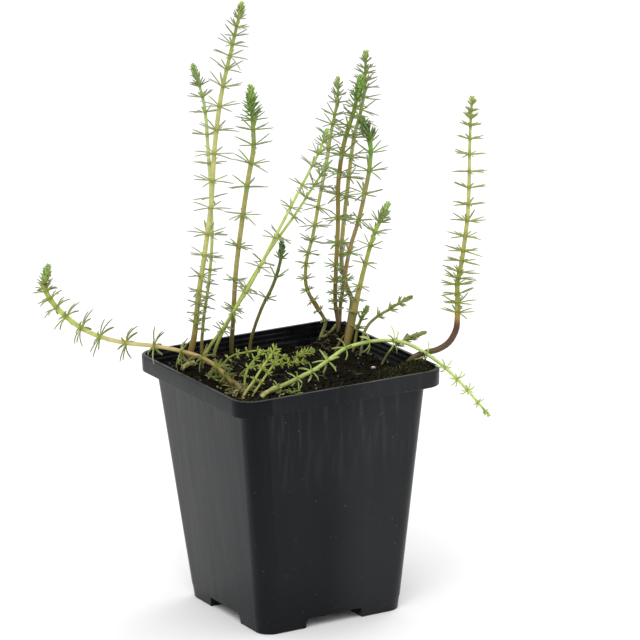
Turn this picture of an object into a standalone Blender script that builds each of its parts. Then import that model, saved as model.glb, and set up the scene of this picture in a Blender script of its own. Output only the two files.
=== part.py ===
"""Potted mare's tail: a square nursery pot of soil with young whorled stems.

Metres, +Z up. The origin is the middle of the pot's footprint, on the surface that it stands on.
The sides of the pot run along X and Y.
"""
import math
import random
from dataclasses import dataclass

import bmesh
import bpy
import numpy as np
from mathutils import Vector, noise

MM = 0.001

# Pot
RIM_SIDE = 90 * MM
BODY_TOP_SIDE = 80.2 * MM
BODY_FOOT_SIDE = 62.8 * MM
POT_HEIGHT = 98.8 * MM
RIM_BAND = 6.5 * MM
RIM_CORNER = 8.5 * MM
BODY_CORNER = 6.5 * MM
WALL = 1.0 * MM
RIM_WALL = 1.5 * MM
RIM_STEP_OUT = 0.9 * MM
RIM_STEP_DOWN = 1.8 * MM
RIM_STEPS = 2
FOOT_HEIGHT = 5.2 * MM
FOOT_INSET = 0.2 * MM
NOTCH_HEIGHT = 4 * MM
NOTCH_WIDTH = 26 * MM
NOTCH_SLANT = 1 * MM
FLOOR = 1.2 * MM
DRAIN_DIAMETER = 6 * MM
DRAIN_SPACING = 15 * MM
CORNER_SEGMENTS = 3

# Soil
GAP = 0.3 * MM
SOIL_LEVEL = 93 * MM
SOIL_LUMP = 0.8 * MM
SOIL_LUMP_SIZE = 7 * MM
SOIL_CELLS = 11
# Mounds and hollows of the soil: x, y, height, spread, in millimetres
SOIL_MOUNDS = (
    (41, 28, 6.5, 6.0),
    (40, -32, 6.6, 9.0),
    (-24, 34, 3.2, 9.0),
    (-28, -18, 0.8, 12.0),
    (18, 40, -1.5, 11.0),
)

# Stems
STEM_SIDES = 5
BURIED = 7.5 * MM
ROOT_HALF = 34.5 * MM
NODE_BAND = 1.1 * MM
NODE_SWELL = 1.12
TUFT_GAP = 3.2 * MM
CLOSEST_WHORLS = 3.0 * MM
THINNEST = 0.5 * MM
BARE_STEP = 9 * MM
LEAF_RADIUS = 0.5 * MM
LEAF_TRIES = (1.0, 0.8, 0.6, 0.45, 0.3)
LEAF_PROBES = (0.2, 0.4, 0.6, 0.8, 1.0)
SHORTEST_LEAF = 0.9 * MM
# A leaf's length at the tip as a share of the full one, and its growth for each length up from the foot
LEAF_AT_TIP = 0.25
FOOT_GROWTH = 0.11
# A leaf's rise over its whorl, in degrees, low on the stem and what the tip adds, and how soon that fades
LOW_RISE = 7
TIP_RISE = 46
RISE_FADE = 14 * MM
# Random swing of a leaf round and along its stem, in radians, and its least share of the length
LEAF_SWING = 0.3
RISE_SWING = 0.12
LEAST_REACH = 0.86
# A leaf keeps this far from the soil and the pot, and hangs over the rim only past its inner edge
LEAF_MARGIN = 1.0 * MM
RIM_WIDTH = 6 * MM
TIP_TAPER = 0.55
CURVE_STEP = 0.4 * MM
TANGENT_REACH = 0.5 * MM


@dataclass
class Stem:
    """One stem and what grows on it; its lengths are in millimetres.

    The route runs from the soil to the tip. The profile gives the radius at shares of the length,
    from the foot. The whorls are distances from the tip. The leaves reach their full length at
    full_at from the tip, and shrink again towards the foot.
    """

    name: str
    route: tuple
    profile: tuple
    whorls: tuple
    leaf: float
    full_at: float
    foot_leaf: float
    colour: tuple


LIME = (0.42, 0.55, 0.12)
OCHRE = (0.40, 0.36, 0.11)
BROWN = (0.20, 0.13, 0.06)
DARK_GREEN = (0.08, 0.20, 0.04)

STEMS = (
    Stem("stem_left_tall",
         ((-26, 35, 94), (-24.4, 33.2, 104), (-23.3, 30.8, 120), (-21.3, 27.4, 140),
          (-19.6, 24.4, 159), (-18.8, 21.2, 183), (-17, 17.7, 204), (-14.2, 14.2, 221),
          (-11, 10.5, 239)),
         ((0, 1.3), (0.12, 1.05), (0.33, 0.95), (0.7, 0.88), (1, 0.55)),
         (5.4, 8.8, 12.4, 16.1, 20.8, 26.3, 33.3, 41.5, 51.2, 60.9, 72.1, 83.3, 94, 102.9, 111.8, 118,
          123, 127.5, 131),
         7.8, 20, 1.2, OCHRE),
    Stem("stem_left_outer",
         ((-19.5, 36.5, 94), (-18.4, 36.9, 107), (-14.8, 37.4, 125), (-12.5, 38.3, 141),
          (-11.5, 40, 156), (-10.9, 42.4, 176), (-11, 45.2, 196), (-13.4, 48.3, 209)),
         ((0, 0.7), (0.12, 0.62), (0.33, 0.62), (0.7, 0.72), (1, 0.5)),
         (8.3, 12.8, 18.8, 27.7, 39, 52.5, 67, 76.2, 81.2, 86.6, 92, 96, 100.6, 105),
         6.6, 16, 1.2, LIME),
    Stem("stem_left_inner",
         ((-6.5, 36, 93.5), (-6.2, 34.5, 108), (-5.6, 31.9, 129), (-4.3, 29.2, 146), (-2.3, 25.9, 166),
          (-0.7, 23.5, 180), (-1.3, 22.6, 191), (-2.3, 21.7, 203.5)),
         ((0, 0.9), (0.12, 0.88), (0.33, 0.95), (0.7, 0.95), (1, 0.7)),
         (13, 17, 23.2, 31, 40.5, 52.2, 65.6, 79.5, 91.7),
         8.3, 18, 1, OCHRE),
    Stem("stem_pale_front",
         ((-22.5, 30, 94), (-15.5, 23.5, 110), (-7.4, 15.4, 128), (-1.4, 8.3, 145), (4.4, 1.8, 161),
          (8.9, -3.4, 173.5), (12, -7, 182.5), (13.8, -9.8, 190.5)),
         ((0, 0.75), (0.12, 0.65), (0.33, 0.62), (0.7, 0.58), (1, 0.42)),
         (5, 10.5, 16, 25, 35.3, 49.7, 63.5, 75.8, 86, 94.5),
         5.6, 12, 2, LIME),
    Stem("stem_pale_back",
         ((-16.5, 32.5, 94), (-9.3, 29.4, 112), (-0.2, 25.3, 129), (7.5, 21.7, 141.5),
          (14.9, 18.2, 152.5), (20.1, 15.9, 161), (23.8, 14.2, 167), (26, 13.2, 171.5)),
         ((0, 0.7), (0.12, 0.62), (0.33, 0.6), (0.7, 0.55), (1, 0.42)),
         (5.5, 10, 16, 25, 34.5, 46.8, 59, 68.5, 76.5),
         5.4, 10, 2, LIME),
    Stem("stem_dark_tip",
         ((2, 36.8, 93), (4.6, 34.7, 106.5), (6.9, 32.8, 113.5), (9.6, 30.7, 120), (11.5, 29, 127),
          (12.6, 27.8, 133.3), (12.7, 27.2, 139.5)),
         ((0, 0.65), (0.12, 0.65), (0.33, 0.66), (0.7, 0.68), (1, 0.6)),
         (7.5, 15.6, 25.2),
         5.6, 15, 2.4, BROWN),
    Stem("stem_winding",
         ((33.4, 35.6, 94), (35.2, 34.6, 100.8), (32.4, 36, 107.3), (28.7, 37.1, 115),
          (28.1, 36.4, 125), (30.3, 34, 137.6), (32.2, 31.7, 152), (34.7, 29, 169),
          (36.3, 27.2, 181.6), (38.1, 25.4, 193.7), (38.2, 24.8, 201.2)),
         ((0, 0.7), (0.1, 0.75), (0.14, 1), (0.18, 0.75), (0.33, 0.7), (0.7, 0.74), (1, 0.48)),
         (2.5, 6.4, 9.3, 14.5, 18.3, 23.7, 28.6, 36.1, 44.4, 53.1, 60.6, 67.2, 72.5, 77.1, 83.3, 88.4,
          93.3, 98, 103),
         7, 15, 0.5, OCHRE),
    Stem("stem_right_tall",
         ((38.2, 24.2, 95.4), (43, 27.6, 105.5), (45, 30.1, 110), (44.5, 32.7, 114.5),
          (43.5, 34.4, 121.3), (43.3, 34.5, 129), (43.8, 33.6, 138.6), (45, 31.9, 153),
          (46.1, 30.1, 167), (47.1, 29, 176), (49.3, 27.2, 186), (50.3, 26.1, 193), (50.9, 24.7, 210.3)),
         ((0, 0.9), (0.14, 0.85), (0.36, 0.92), (0.7, 0.82), (1, 0.48)),
         (3.7, 6.2, 8.3, 11.4, 14, 18.2, 23.2, 27, 34.8, 43.1, 51.4, 59.7, 69.2, 79.3, 83.8, 89.9,
          94.5, 100),
         7.4, 17, 0.8, OCHRE),
    Stem("stem_right_brown",
         ((37.6, 28.5, 96), (37.8, 30.6, 110), (37.9, 29.5, 124), (37.9, 27.2, 141), (37.5, 24.5, 163),
          (39.1, 22, 177.3), (42.1, 18.6, 191), (43.9, 16.5, 202.6)),
         ((0, 0.85), (0.14, 0.8), (0.35, 0.88), (0.52, 0.88), (0.66, 0.88), (0.8, 0.88), (1, 0.6)),
         (7.7, 11.9, 15.6, 20.5, 24.5, 32.2, 40, 49.3, 58.8, 69.6, 79, 85.9, 90.9, 94.2, 97.5),
         8.6, 30, 1.2, BROWN),
    Stem("stem_right_dark",
         ((39.2, 31.8, 96.5), (41.6, 33, 108.5), (41.8, 30.2, 117.5), (41.8, 27.3, 126.3),
          (42.3, 24.8, 133.7), (44, 21.6, 143.5), (45.1, 17.5, 156.4), (46.1, 14.7, 168.5),
          (45.8, 13.8, 178), (42.7, 14.3, 186.7)),
         ((0, 0.8), (0.14, 0.75), (0.35, 0.82), (0.7, 0.86), (0.86, 0.86), (1, 0.65)),
         (14.3, 22, 32, 44, 58.8, 70.5, 75.5, 81),
         8.4, 14, 0.8, BROWN),
    Stem("stem_right_thick",
         ((36.4, 19.6, 94.5), (38.3, 19.4, 101.5), (39.7, 18.6, 108.4), (41.8, 18.2, 116.8),
          (43.6, 16.1, 127), (45, 14.2, 134.8), (46.3, 12.3, 141), (48, 10.3, 146.5),
          (49.9, 8.1, 152.4)),
         ((0, 1.5), (0.2, 1.4), (0.38, 1), (0.6, 0.85), (0.85, 0.8), (1, 0.6)),
         (7.7, 12.6, 18.7, 26.5, 36.5, 41.7, 47),
         8.8, 20, 1, OCHRE),
    Stem("stem_far_right",
         ((38.4, -24.5, 96.5), (41.6, -25.9, 99.9), (45.2, -27.4, 101.2), (49.4, -29.5, 102.2),
          (53.4, -31.4, 104.8), (56.8, -31.6, 109.6), (57.8, -31.3, 115.4), (57.9, -31.3, 121.7),
          (58.8, -29.9, 128), (60.8, -29.3, 134), (63, -28.6, 143), (65, -27.9, 153),
          (67.2, -25.7, 165), (69, -23.4, 177), (70.9, -21.3, 188), (72.7, -19.7, 197.3)),
         ((0, 1.1), (0.1, 1.15), (0.18, 1.25), (0.24, 1.2), (0.265, 1.1), (0.34, 0.95), (0.7, 0.72),
          (1, 0.45)),
         (2.3, 4.9, 7.7, 10.6, 15.7, 21.6, 28.2, 34.6, 41.1, 47.4, 53.6, 59.3, 63.2, 67.5, 70, 72.5,
          76, 79.6, 83.5),
         6.9, 23, 2.6, BROWN),
    Stem("stem_arching",
         ((-24.6, -22, 93.5), (-19, -23.5, 95.8), (-12, -22, 97), (3, -16, 98.6), (14, -9, 99.8),
          (24, -4, 101.2), (33, -8, 103.2), (40, -18, 104.2), (44, -31, 101.6), (47, -45, 96.4),
          (49.2, -57.6, 89.6), (50, -66.5, 85)),
         ((0, 0.95), (0.08, 0.85), (0.3, 0.8), (0.7, 0.7), (0.95, 0.5), (1, 0.4)),
         (2.4, 7.3, 14.5, 21.5, 29, 39.8, 57, 67.5, 77.5, 91.5, 104, 113, 123),
         5.8, 40, 1.8, LIME),
    Stem("stem_trailing",
         ((-26.6, -3.9, 93), (-27.2, 3.4, 96.8), (-27.6, 9.1, 98.6), (-30.3, 15.4, 101),
          (-36, 21.9, 103), (-44.2, 28.1, 104.9), (-52.7, 36.1, 105.6), (-59.7, 43.9, 107.3),
          (-64.6, 50.6, 110), (-68.4, 56.6, 114), (-70.5, 60.1, 117), (-72.3, 63.3, 121),
          (-72.9, 65.4, 124.5), (-72.1, 66.1, 128.5), (-70.9, 66, 132.4)),
         ((0, 0.9), (0.12, 0.85), (0.35, 0.8), (0.58, 0.88), (0.75, 1), (0.88, 1.05), (1, 0.65)),
         (9.8, 13.3, 17.6, 23, 31, 39.5, 50.5, 62, 72.8, 81.7, 90.3, 97),
         8, 24, 3, LIME),
    Stem("shoot_bud",
         ((37.8, 16.2, 94), (40.2, 16.9, 102), (42, 15.6, 107), (43.6, 14, 111.2)),
         ((0, 0.6), (0.6, 0.6), (1, 0.65)),
         (6.5, 10.5),
         3.4, 8, 2.5, DARK_GREEN),
    Stem("shoot_right",
         ((38, 10.6, 94), (40, 12.6, 99), (42.5, 13.2, 103), (46.5, 12.2, 106.6), (50.4, 9.6, 109.4),
          (54.4, 6.6, 112.6), (58.1, 3.7, 115)),
         ((0, 0.68), (0.2, 0.62), (0.6, 0.58), (0.85, 0.52), (1, 0.55)),
         (6.5, 11, 16.3),
         3.4, 7, 2, DARK_GREEN),
    Stem("shoot_corner",
         ((38, -7.5, 94.5), (40.6, -10.5, 100), (43.2, -13, 102.8), (46.1, -14.9, 104.2),
          (48.6, -16.2, 105.3), (51.2, -17.5, 106.2)),
         ((0, 0.55), (0.4, 0.5), (1, 0.55)),
         (9, 12.5),
         3.6, 7, 2.2, DARK_GREEN),
    Stem("shoot_front_a",
         ((-31, -19.5, 93.3), (-25, -17.2, 98.4), (-19.3, -14.5, 102.8), (-15.5, -13.2, 105.8),
          (-11.6, -11.9, 109.1)),
         ((0, 0.55), (0.4, 0.48), (1, 0.42)),
         (1.6, 3.6, 7, 11.5, 17),
         2.7, 2, 0.6, LIME),
    Stem("shoot_front_b",
         ((-27, -19.8, 93.3), (-22.5, -17.2, 96.5), (-17.5, -14.8, 100), (-14, -13.4, 102.5),
          (-11, -12.2, 105)),
         ((0, 0.5), (0.4, 0.44), (1, 0.4)),
         (2, 4.4, 9, 14),
         2.5, 2, 0.6, LIME),
    Stem("shoot_front_c",
         ((-23.8, -7.2, 93.3), (-22, -4.6, 96.6), (-19, -2, 99.4), (-15.5, -0.7, 101.8),
          (-10.4, 1.1, 104.2)),
         ((0, 0.48), (0.4, 0.44), (1, 0.42)),
         (2.5, 6, 10.5, 15),
         2.5, 3, 0.7, LIME),
    Stem("shoot_thin_back",
         ((-18.9, 20.6, 93.6), (-16.4, 20.3, 97.2), (-14.3, 19.2, 98.6), (-10.9, 16.2, 99.8),
          (-7, 13.2, 100.7), (-2.7, 11.7, 100), (1.9, 10.4, 98), (5.1, 9.8, 96)),
         ((0, 0.42), (0.4, 0.4), (1, 0.36)),
         (3, 6, 9.5, 13.5, 18, 22, 26),
         2, 3, 1.2, LIME),
    Stem("shoot_thin_middle",
         ((-17.3, 8.4, 93.6), (-14.1, 7.2, 96.2), (-10.2, 6, 96.8), (-6.2, 4.8, 97), (-0.4, 3.6, 96.8),
          (4.6, 2.8, 96.6), (9, 1.8, 96.2)),
         ((0, 0.42), (0.4, 0.4), (1, 0.36)),
         (2.5, 5, 8, 11, 14.5, 18, 22),
         2, 3, 1.2, LIME),
    Stem("shoot_mat",
         ((8.4, 12.6, 93.6), (11, 13.4, 95.8), (15.3, 14.4, 96.2), (19.7, 15, 96.3)),
         ((0, 0.45), (0.4, 0.42), (1, 0.38)),
         (2.5, 4.5, 6.5, 8.7, 11),
         2.2, 3, 1.4, LIME),
)


def body_half(z):
    """Half the outer side of the pot's body at a height."""
    ledge = POT_HEIGHT - RIM_BAND
    return (BODY_FOOT_SIDE + (BODY_TOP_SIDE - BODY_FOOT_SIDE) * z / ledge) / 2


def outer_rings():
    """The pot's outer side, from the feet to the top of the rim: half side, corner radius, height."""
    ledge = POT_HEIGHT - RIM_BAND
    rim = RIM_SIDE / 2
    return [
        (body_half(0) - FOOT_INSET, BODY_CORNER - FOOT_INSET, 0),
        (body_half(FOOT_HEIGHT) - FOOT_INSET, BODY_CORNER - FOOT_INSET, FOOT_HEIGHT),
        (body_half(FOOT_HEIGHT + FOOT_INSET), BODY_CORNER, FOOT_HEIGHT + FOOT_INSET),
        (body_half(ledge), BODY_CORNER, ledge),
        (rim - FOOT_INSET, RIM_CORNER - FOOT_INSET, ledge),
        (rim, RIM_CORNER, POT_HEIGHT - FOOT_INSET),
        (rim - FOOT_INSET, RIM_CORNER - FOOT_INSET, POT_HEIGHT),
    ]


def inner_rings(gap=0.0):
    """The inside of the pot, from the top of the rim to the floor of the feet, moved inwards by a gap."""
    rim = RIM_SIDE / 2 - RIM_WALL
    corner = RIM_CORNER - RIM_WALL
    rings = [(rim, corner, POT_HEIGHT)]
    for step in range(RIM_STEPS + 1):
        half = rim - step * RIM_STEP_OUT
        low = POT_HEIGHT - (step + 1) * RIM_STEP_DOWN
        rings.append((half, corner - step * RIM_STEP_OUT, low))
        if step < RIM_STEPS:
            rings.append((half - RIM_STEP_OUT, corner - (step + 1) * RIM_STEP_OUT, low))
    shelf = rings[-1][2]
    inner_corner = BODY_CORNER - WALL
    above_feet = FOOT_HEIGHT + FOOT_INSET + WALL
    foot_top = FOOT_HEIGHT + WALL / 2
    inset = WALL + FOOT_INSET
    rings.append((body_half(shelf) - WALL, inner_corner, shelf))
    rings.append((body_half(above_feet) - WALL, inner_corner, above_feet))
    rings.append((body_half(foot_top) - inset, inner_corner, foot_top))
    rings.append((body_half(FLOOR) - inset, inner_corner, FLOOR))
    return [(half - gap, corner - gap, z + gap) for half, corner, z in rings]


def extend(bm, end):
    """Extrude the end face of a solid under way; only the first face stays where it was."""
    first = len(bm.faces) == 1
    grown = bmesh.ops.extrude_face_region(bm, geom=[end])["geom"]
    if not first:
        bmesh.ops.delete(bm, geom=[end], context="FACES_ONLY")
    return next(item for item in grown if isinstance(item, bmesh.types.BMFace))


def round_square(face, half, corner, z):
    """Put a face's vertices on a square with round corners."""
    for number, vert in enumerate(face.verts):
        quarter, i = divmod(number, CORNER_SEGMENTS + 1)
        turn = math.pi / 2 * (quarter + i / CORNER_SEGMENTS)
        sign_x = 1 if quarter in (0, 3) else -1
        sign_y = 1 if quarter in (0, 1) else -1
        x = sign_x * (half - corner) + corner * math.cos(turn)
        y = sign_y * (half - corner) + corner * math.sin(turn)
        vert.co = (x, y, z)


def loft(bm, rings):
    """A closed solid through a stack of square rings."""
    bmesh.ops.create_circle(bm, cap_ends=True, segments=4 * (CORNER_SEGMENTS + 1), radius=RIM_SIDE)
    bm.faces.ensure_lookup_table()
    end = bm.faces[0]
    round_square(end, *rings[0])
    for ring in rings[1:]:
        end = extend(bm, end)
        round_square(end, *ring)
    bmesh.ops.recalc_face_normals(bm, faces=bm.faces)


def make_material(name, colour, roughness):
    material = bpy.data.materials.new(name)
    material.use_nodes = True
    shader = material.node_tree.nodes["Principled BSDF"]
    shader.inputs["Base Color"].default_value = (*colour, 1)
    shader.inputs["Roughness"].default_value = roughness
    shader.inputs["Metallic"].default_value = 0
    return material


def add_object(name, bm, material=None):
    mesh = bpy.data.meshes.new(name)
    bm.to_mesh(mesh)
    bm.free()
    item = bpy.data.objects.new(name, mesh)
    bpy.context.scene.collection.objects.link(item)
    if material:
        mesh.materials.append(material)
    else:
        item.hide_render = True
        item.display_type = "WIRE"
    return item


def add_boolean(item, cutter, operation):
    boolean = item.modifiers.new(cutter.name, "BOOLEAN")
    boolean.operation = operation
    boolean.solver = "EXACT"
    boolean.object = cutter


def bar(name, length, width, low, high, along_y, slant=0.0):
    """A bar through the middle of the pot; slant narrows its top on both sides."""
    bm = bmesh.new()
    bmesh.ops.create_cube(bm, size=1)
    for vert in bm.verts:
        top = vert.co.z > 0
        across = vert.co.y * (width - (2 * slant if top else 0))
        along = vert.co.x * length
        vert.co = (across, along, high if top else low) if along_y else (along, across, high if top else low)
    bmesh.ops.recalc_face_normals(bm, faces=bm.faces)
    return add_object(name, bm)


def make_pot():
    bm = bmesh.new()
    loft(bm, outer_rings() + inner_rings())
    pot = add_object("pot", bm, make_material("black_plastic", (0.028, 0.030, 0.033), 0.45))
    floor_length = 2 * (body_half(0) - FOOT_INSET - WALL / 5)
    floor_width = NOTCH_WIDTH + 2 * FLOOR
    for along_y in (False, True):
        side = "y" if along_y else "x"
        add_boolean(pot, bar(f"floor_{side}", floor_length, floor_width, 0, FOOT_HEIGHT, along_y), "UNION")
    for along_y in (False, True):
        side = "y" if along_y else "x"
        notch = bar(f"notch_{side}", RIM_SIDE, NOTCH_WIDTH, -NOTCH_HEIGHT, NOTCH_HEIGHT, along_y, NOTCH_SLANT)
        add_boolean(pot, notch, "DIFFERENCE")
    for number, (x, y) in enumerate(((0, 0), (1, 0), (0, 1), (-1, 0), (0, -1))):
        drain = bmesh.new()
        bmesh.ops.create_cone(drain, cap_ends=True, segments=12, radius1=DRAIN_DIAMETER / 2,
                              radius2=DRAIN_DIAMETER / 2, depth=2 * FOOT_HEIGHT)
        bmesh.ops.translate(drain, verts=drain.verts,
                            vec=(x * DRAIN_SPACING, y * DRAIN_SPACING, FOOT_HEIGHT))
        add_boolean(pot, add_object(f"drain_{number}", drain), "DIFFERENCE")
    return pot


def soil_height(x, y):
    """Height of the soil's surface over a point of the pot."""
    z = SOIL_LEVEL
    for mound_x, mound_y, height, spread in SOIL_MOUNDS:
        away = ((x / MM - mound_x) ** 2 + (y / MM - mound_y) ** 2) / (2 * spread ** 2)
        z += height * MM * math.exp(-away)
    lump = noise.noise(Vector((x, y, 0)) / SOIL_LUMP_SIZE)
    fine = noise.noise(Vector((x, y, SOIL_LEVEL)) * 2.3 / SOIL_LUMP_SIZE)
    return z + SOIL_LUMP * (lump + 0.6 * fine)


def make_soil(sockets):
    """The soil: a lumpy slab cut to the inside of the pot, with a socket for each stem."""
    bm = bmesh.new()
    bmesh.ops.create_grid(bm, x_segments=SOIL_CELLS, y_segments=SOIL_CELLS, size=RIM_SIDE / 2)
    top = list(bm.verts)
    bmesh.ops.extrude_face_region(bm, geom=list(bm.faces))
    for vert in bm.verts:
        vert.co.z = -FLOOR
    for vert in top:
        vert.co.z = soil_height(vert.co.x, vert.co.y)
    bmesh.ops.recalc_face_normals(bm, faces=bm.faces)
    soil = add_object("soil", bm, make_material("dark_soil", (0.030, 0.022, 0.016), 0.95))
    inside = bmesh.new()
    rings = inner_rings(GAP)
    rings[0] = (rings[0][0], rings[0][1], 2 * POT_HEIGHT)
    loft(inside, rings)
    add_boolean(soil, add_object("soil_form", inside), "INTERSECT")
    floor_width = NOTCH_WIDTH + 2 * (FLOOR + GAP)
    for along_y in (False, True):
        side = "y" if along_y else "x"
        floor = bar(f"soil_floor_{side}", RIM_SIDE, floor_width, -FLOOR, FOOT_HEIGHT + GAP, along_y)
        add_boolean(soil, floor, "DIFFERENCE")
    for socket in sockets:
        add_boolean(soil, socket, "DIFFERENCE")
    return soil


def smooth_route(points):
    """Dense points of a smooth curve through a route's points."""
    points = np.array(points, float)
    knots = np.concatenate([[0], np.cumsum(np.linalg.norm(np.diff(points, axis=0), axis=1))])
    slopes = np.gradient(points, knots, axis=0)
    dense = []
    for i in range(len(points) - 1):
        span = knots[i + 1] - knots[i]
        count = max(2, int(span / CURVE_STEP))
        for t in np.arange(count) / count:
            h = (2 * t ** 3 - 3 * t ** 2 + 1, t ** 3 - 2 * t ** 2 + t, 3 * t ** 2 - 2 * t ** 3, t ** 3 - t ** 2)
            dense.append(h[0] * points[i] + h[1] * span * slopes[i] + h[2] * points[i + 1]
                         + h[3] * span * slopes[i + 1])
    dense.append(points[-1])
    return np.array(dense)


def whorl_places(stem):
    """Distances from the tip of the stem's whorls: those in the tuft of its tip, then the listed ones."""
    places = []
    place = TUFT_GAP
    while place < stem.whorls[0] * MM - CLOSEST_WHORLS:
        places.append(place)
        place += TUFT_GAP
    for whorl in stem.whorls:
        if not places or whorl * MM - places[-1] > CLOSEST_WHORLS:
            places.append(whorl * MM)
    return places


def leaf_length(stem, from_tip, from_foot):
    """Leaves are short at the growing tip, longest below it and short again at the foot."""
    near_tip = stem.leaf * MM * min(1, LEAF_AT_TIP + (1 - LEAF_AT_TIP) * from_tip / (stem.full_at * MM))
    near_foot = stem.foot_leaf * MM + FOOT_GROWTH * from_foot
    return min(near_tip, near_foot)


def leaf_rise(from_tip):
    """Angle of a leaf over its whorl: upright at the tip, level further down."""
    return math.radians(LOW_RISE + TIP_RISE * math.exp(-from_tip / RISE_FADE))


class Grown:
    """A stem's curve, its stations and the places of its leaves."""

    def __init__(self, stem):
        self.stem = stem
        route = [Vector(point) * MM for point in stem.route]
        # The buried end keeps clear of the wall, which narrows downwards.
        x, y = (min(max(place, -ROOT_HALF), ROOT_HALF) for place in route[0].xy)
        self.curve = smooth_route([Vector((x, y, route[0].z - BURIED)), *route])
        steps = np.linalg.norm(np.diff(self.curve, axis=0), axis=1)
        self.along = np.concatenate([[0], np.cumsum(steps)])
        self.length = float(self.along[-1]) - BURIED
        self.whorls = whorl_places(stem)
        self.stations = []
        self.leaves = {}
        self.lay_stations()

    def point(self, from_tip):
        place = self.along[-1] - from_tip
        return Vector([np.interp(place, self.along, self.curve[:, axis]) for axis in range(3)])

    def tangent(self, from_tip):
        ahead = self.point(max(from_tip - TANGENT_REACH, 0))
        behind = self.point(min(from_tip + TANGENT_REACH, self.along[-1]))
        return (ahead - behind).normalized()

    def radius(self, from_tip):
        share = max(1 - from_tip / self.length, 0)
        shares, radii = zip(*self.stem.profile)
        return max(float(np.interp(share, shares, radii)) * MM, THINNEST)

    def lay_stations(self):
        """Rings of the stem from its buried end to its tip: place, axes, radius and whorl number."""
        places = [(self.along[-1], None)]
        lowest = self.whorls[-1] if self.whorls else 0
        bare = self.along[-1] - lowest
        for i in range(1, int(bare / BARE_STEP) + 1):
            place = self.along[-1] - i * bare / (int(bare / BARE_STEP) + 1)
            places.append((place, None))
        for number, place in reversed(list(enumerate(self.whorls))):
            places.append((place + NODE_BAND / 2, number))
            places.append((place - NODE_BAND / 2, None))
        places.append((0.0, None))
        side = None
        for place, whorl in places:
            ahead = self.tangent(place)
            if side is None:
                side = ahead.orthogonal()
            side = (side - side.dot(ahead) * ahead).normalized()
            radius = self.radius(place)
            if whorl is not None or (self.stations and self.stations[-1][5] is not None):
                radius *= NODE_SWELL
            if place == 0:
                radius *= TIP_TAPER
            self.stations.append((self.point(place), side.copy(), ahead.cross(side), ahead, radius, whorl))

    def tube_segments(self):
        return [(a[0], b[0], max(a[4], b[4])) for a, b in zip(self.stations, self.stations[1:])]


def segment_distances(start, end, starts, ends):
    """Least distance from one segment to each of many."""
    d1 = end - start
    d2 = ends - starts
    r = start - starts
    a = d1 @ d1
    e = np.einsum("ij,ij->i", d2, d2)
    f = np.einsum("ij,ij->i", d2, r)
    c = r @ d1
    b = d2 @ d1
    below = np.maximum(a * e - b * b, 1e-18)
    s = np.clip((b * f - c * e) / below, 0, 1)
    t = np.clip((b * s + f) / np.maximum(e, 1e-18), 0, 1)
    s = np.clip((b * t - c) / max(a, 1e-18), 0, 1)
    gap = r + s[:, None] * d1 - t[:, None] * d2
    return np.linalg.norm(gap, axis=1)


def clear_of_pot(point):
    """True where a leaf neither meets the soil nor the pot."""
    reach = max(abs(point.x), abs(point.y))
    if point.z > POT_HEIGHT + LEAF_MARGIN and reach > RIM_SIDE / 2 - RIM_WIDTH:
        return True
    if reach > RIM_SIDE / 2 + LEAF_MARGIN:
        return True
    inside = RIM_SIDE / 2 - RIM_WALL - RIM_STEPS * RIM_STEP_OUT - LEAF_MARGIN
    return reach < inside and point.z > soil_height(point.x, point.y) + LEAF_MARGIN


def grow_leaves(plants):
    """Find every leaf's tip, shortened where it would meet a neighbour, the soil or the pot."""
    starts, ends, radii, owners = [], [], [], []

    def occupy(start, end, radius, owner):
        starts.append(np.array(start))
        ends.append(np.array(end))
        radii.append(radius)
        owners.append(owner)

    for owner, plant in enumerate(plants):
        for start, end, radius in plant.tube_segments():
            occupy(start, end, radius * 1.05, owner)
    for owner, plant in enumerate(plants):
        rng = random.Random(plant.stem.name)
        for centre, side, across, ahead, radius, whorl in plant.stations:
            if whorl is None:
                continue
            from_tip = plant.whorls[whorl]
            full = leaf_length(plant.stem, from_tip, plant.length - from_tip)
            middle = centre + ahead * NODE_BAND / 2
            for face in range(STEM_SIDES):
                turn = 2 * math.pi * (face + 0.5) / STEM_SIDES
                out = side * math.cos(turn) + across * math.sin(turn)
                round_stem = across * math.cos(turn) - side * math.sin(turn)
                swing = rng.uniform(-LEAF_SWING, LEAF_SWING)
                rise = leaf_rise(from_tip) + rng.uniform(-RISE_SWING, RISE_SWING)
                reach = full * rng.uniform(LEAST_REACH, 1.0)
                aim = math.cos(rise) * (math.cos(swing) * out + math.sin(swing) * round_stem)
                aim += math.sin(rise) * ahead
                root = middle + out * radius * math.cos(math.pi / STEM_SIDES)
                theirs = np.array(owners) != owner
                others = (np.array(starts)[theirs], np.array(ends)[theirs], np.array(radii)[theirs])
                for share in LEAF_TRIES:
                    tip = root + aim * reach * share
                    if reach * share < SHORTEST_LEAF:
                        break
                    if not all(clear_of_pot(root.lerp(tip, t)) for t in LEAF_PROBES):
                        continue
                    away = segment_distances(np.array(root), np.array(tip), others[0], others[1])
                    if (away > others[2] + LEAF_RADIUS + GAP).all():
                        plant.leaves[(whorl, face)] = tip
                        occupy(root, tip, LEAF_RADIUS, owner)
                        break


def place_ring(face, station, extra=0.0):
    centre, side, across, ahead, radius, whorl = station
    for number, vert in enumerate(face.verts):
        turn = 2 * math.pi * number / len(face.verts)
        vert.co = centre + (radius + extra) * (side * math.cos(turn) + across * math.sin(turn))


def sweep(stations, extra=0.0):
    """A stem's tube, with the side faces of each station's band."""
    bm = bmesh.new()
    bmesh.ops.create_circle(bm, cap_ends=True, segments=STEM_SIDES, radius=MM)
    bm.faces.ensure_lookup_table()
    end = bm.faces[0]
    place_ring(end, stations[0], extra)
    bands = []
    for station in stations[1:]:
        end = extend(bm, end)
        place_ring(end, station, extra)
        bands.append([next(f for f in loop.edge.link_faces if f is not end) for loop in end.loops])
    return bm, end, bands


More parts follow.
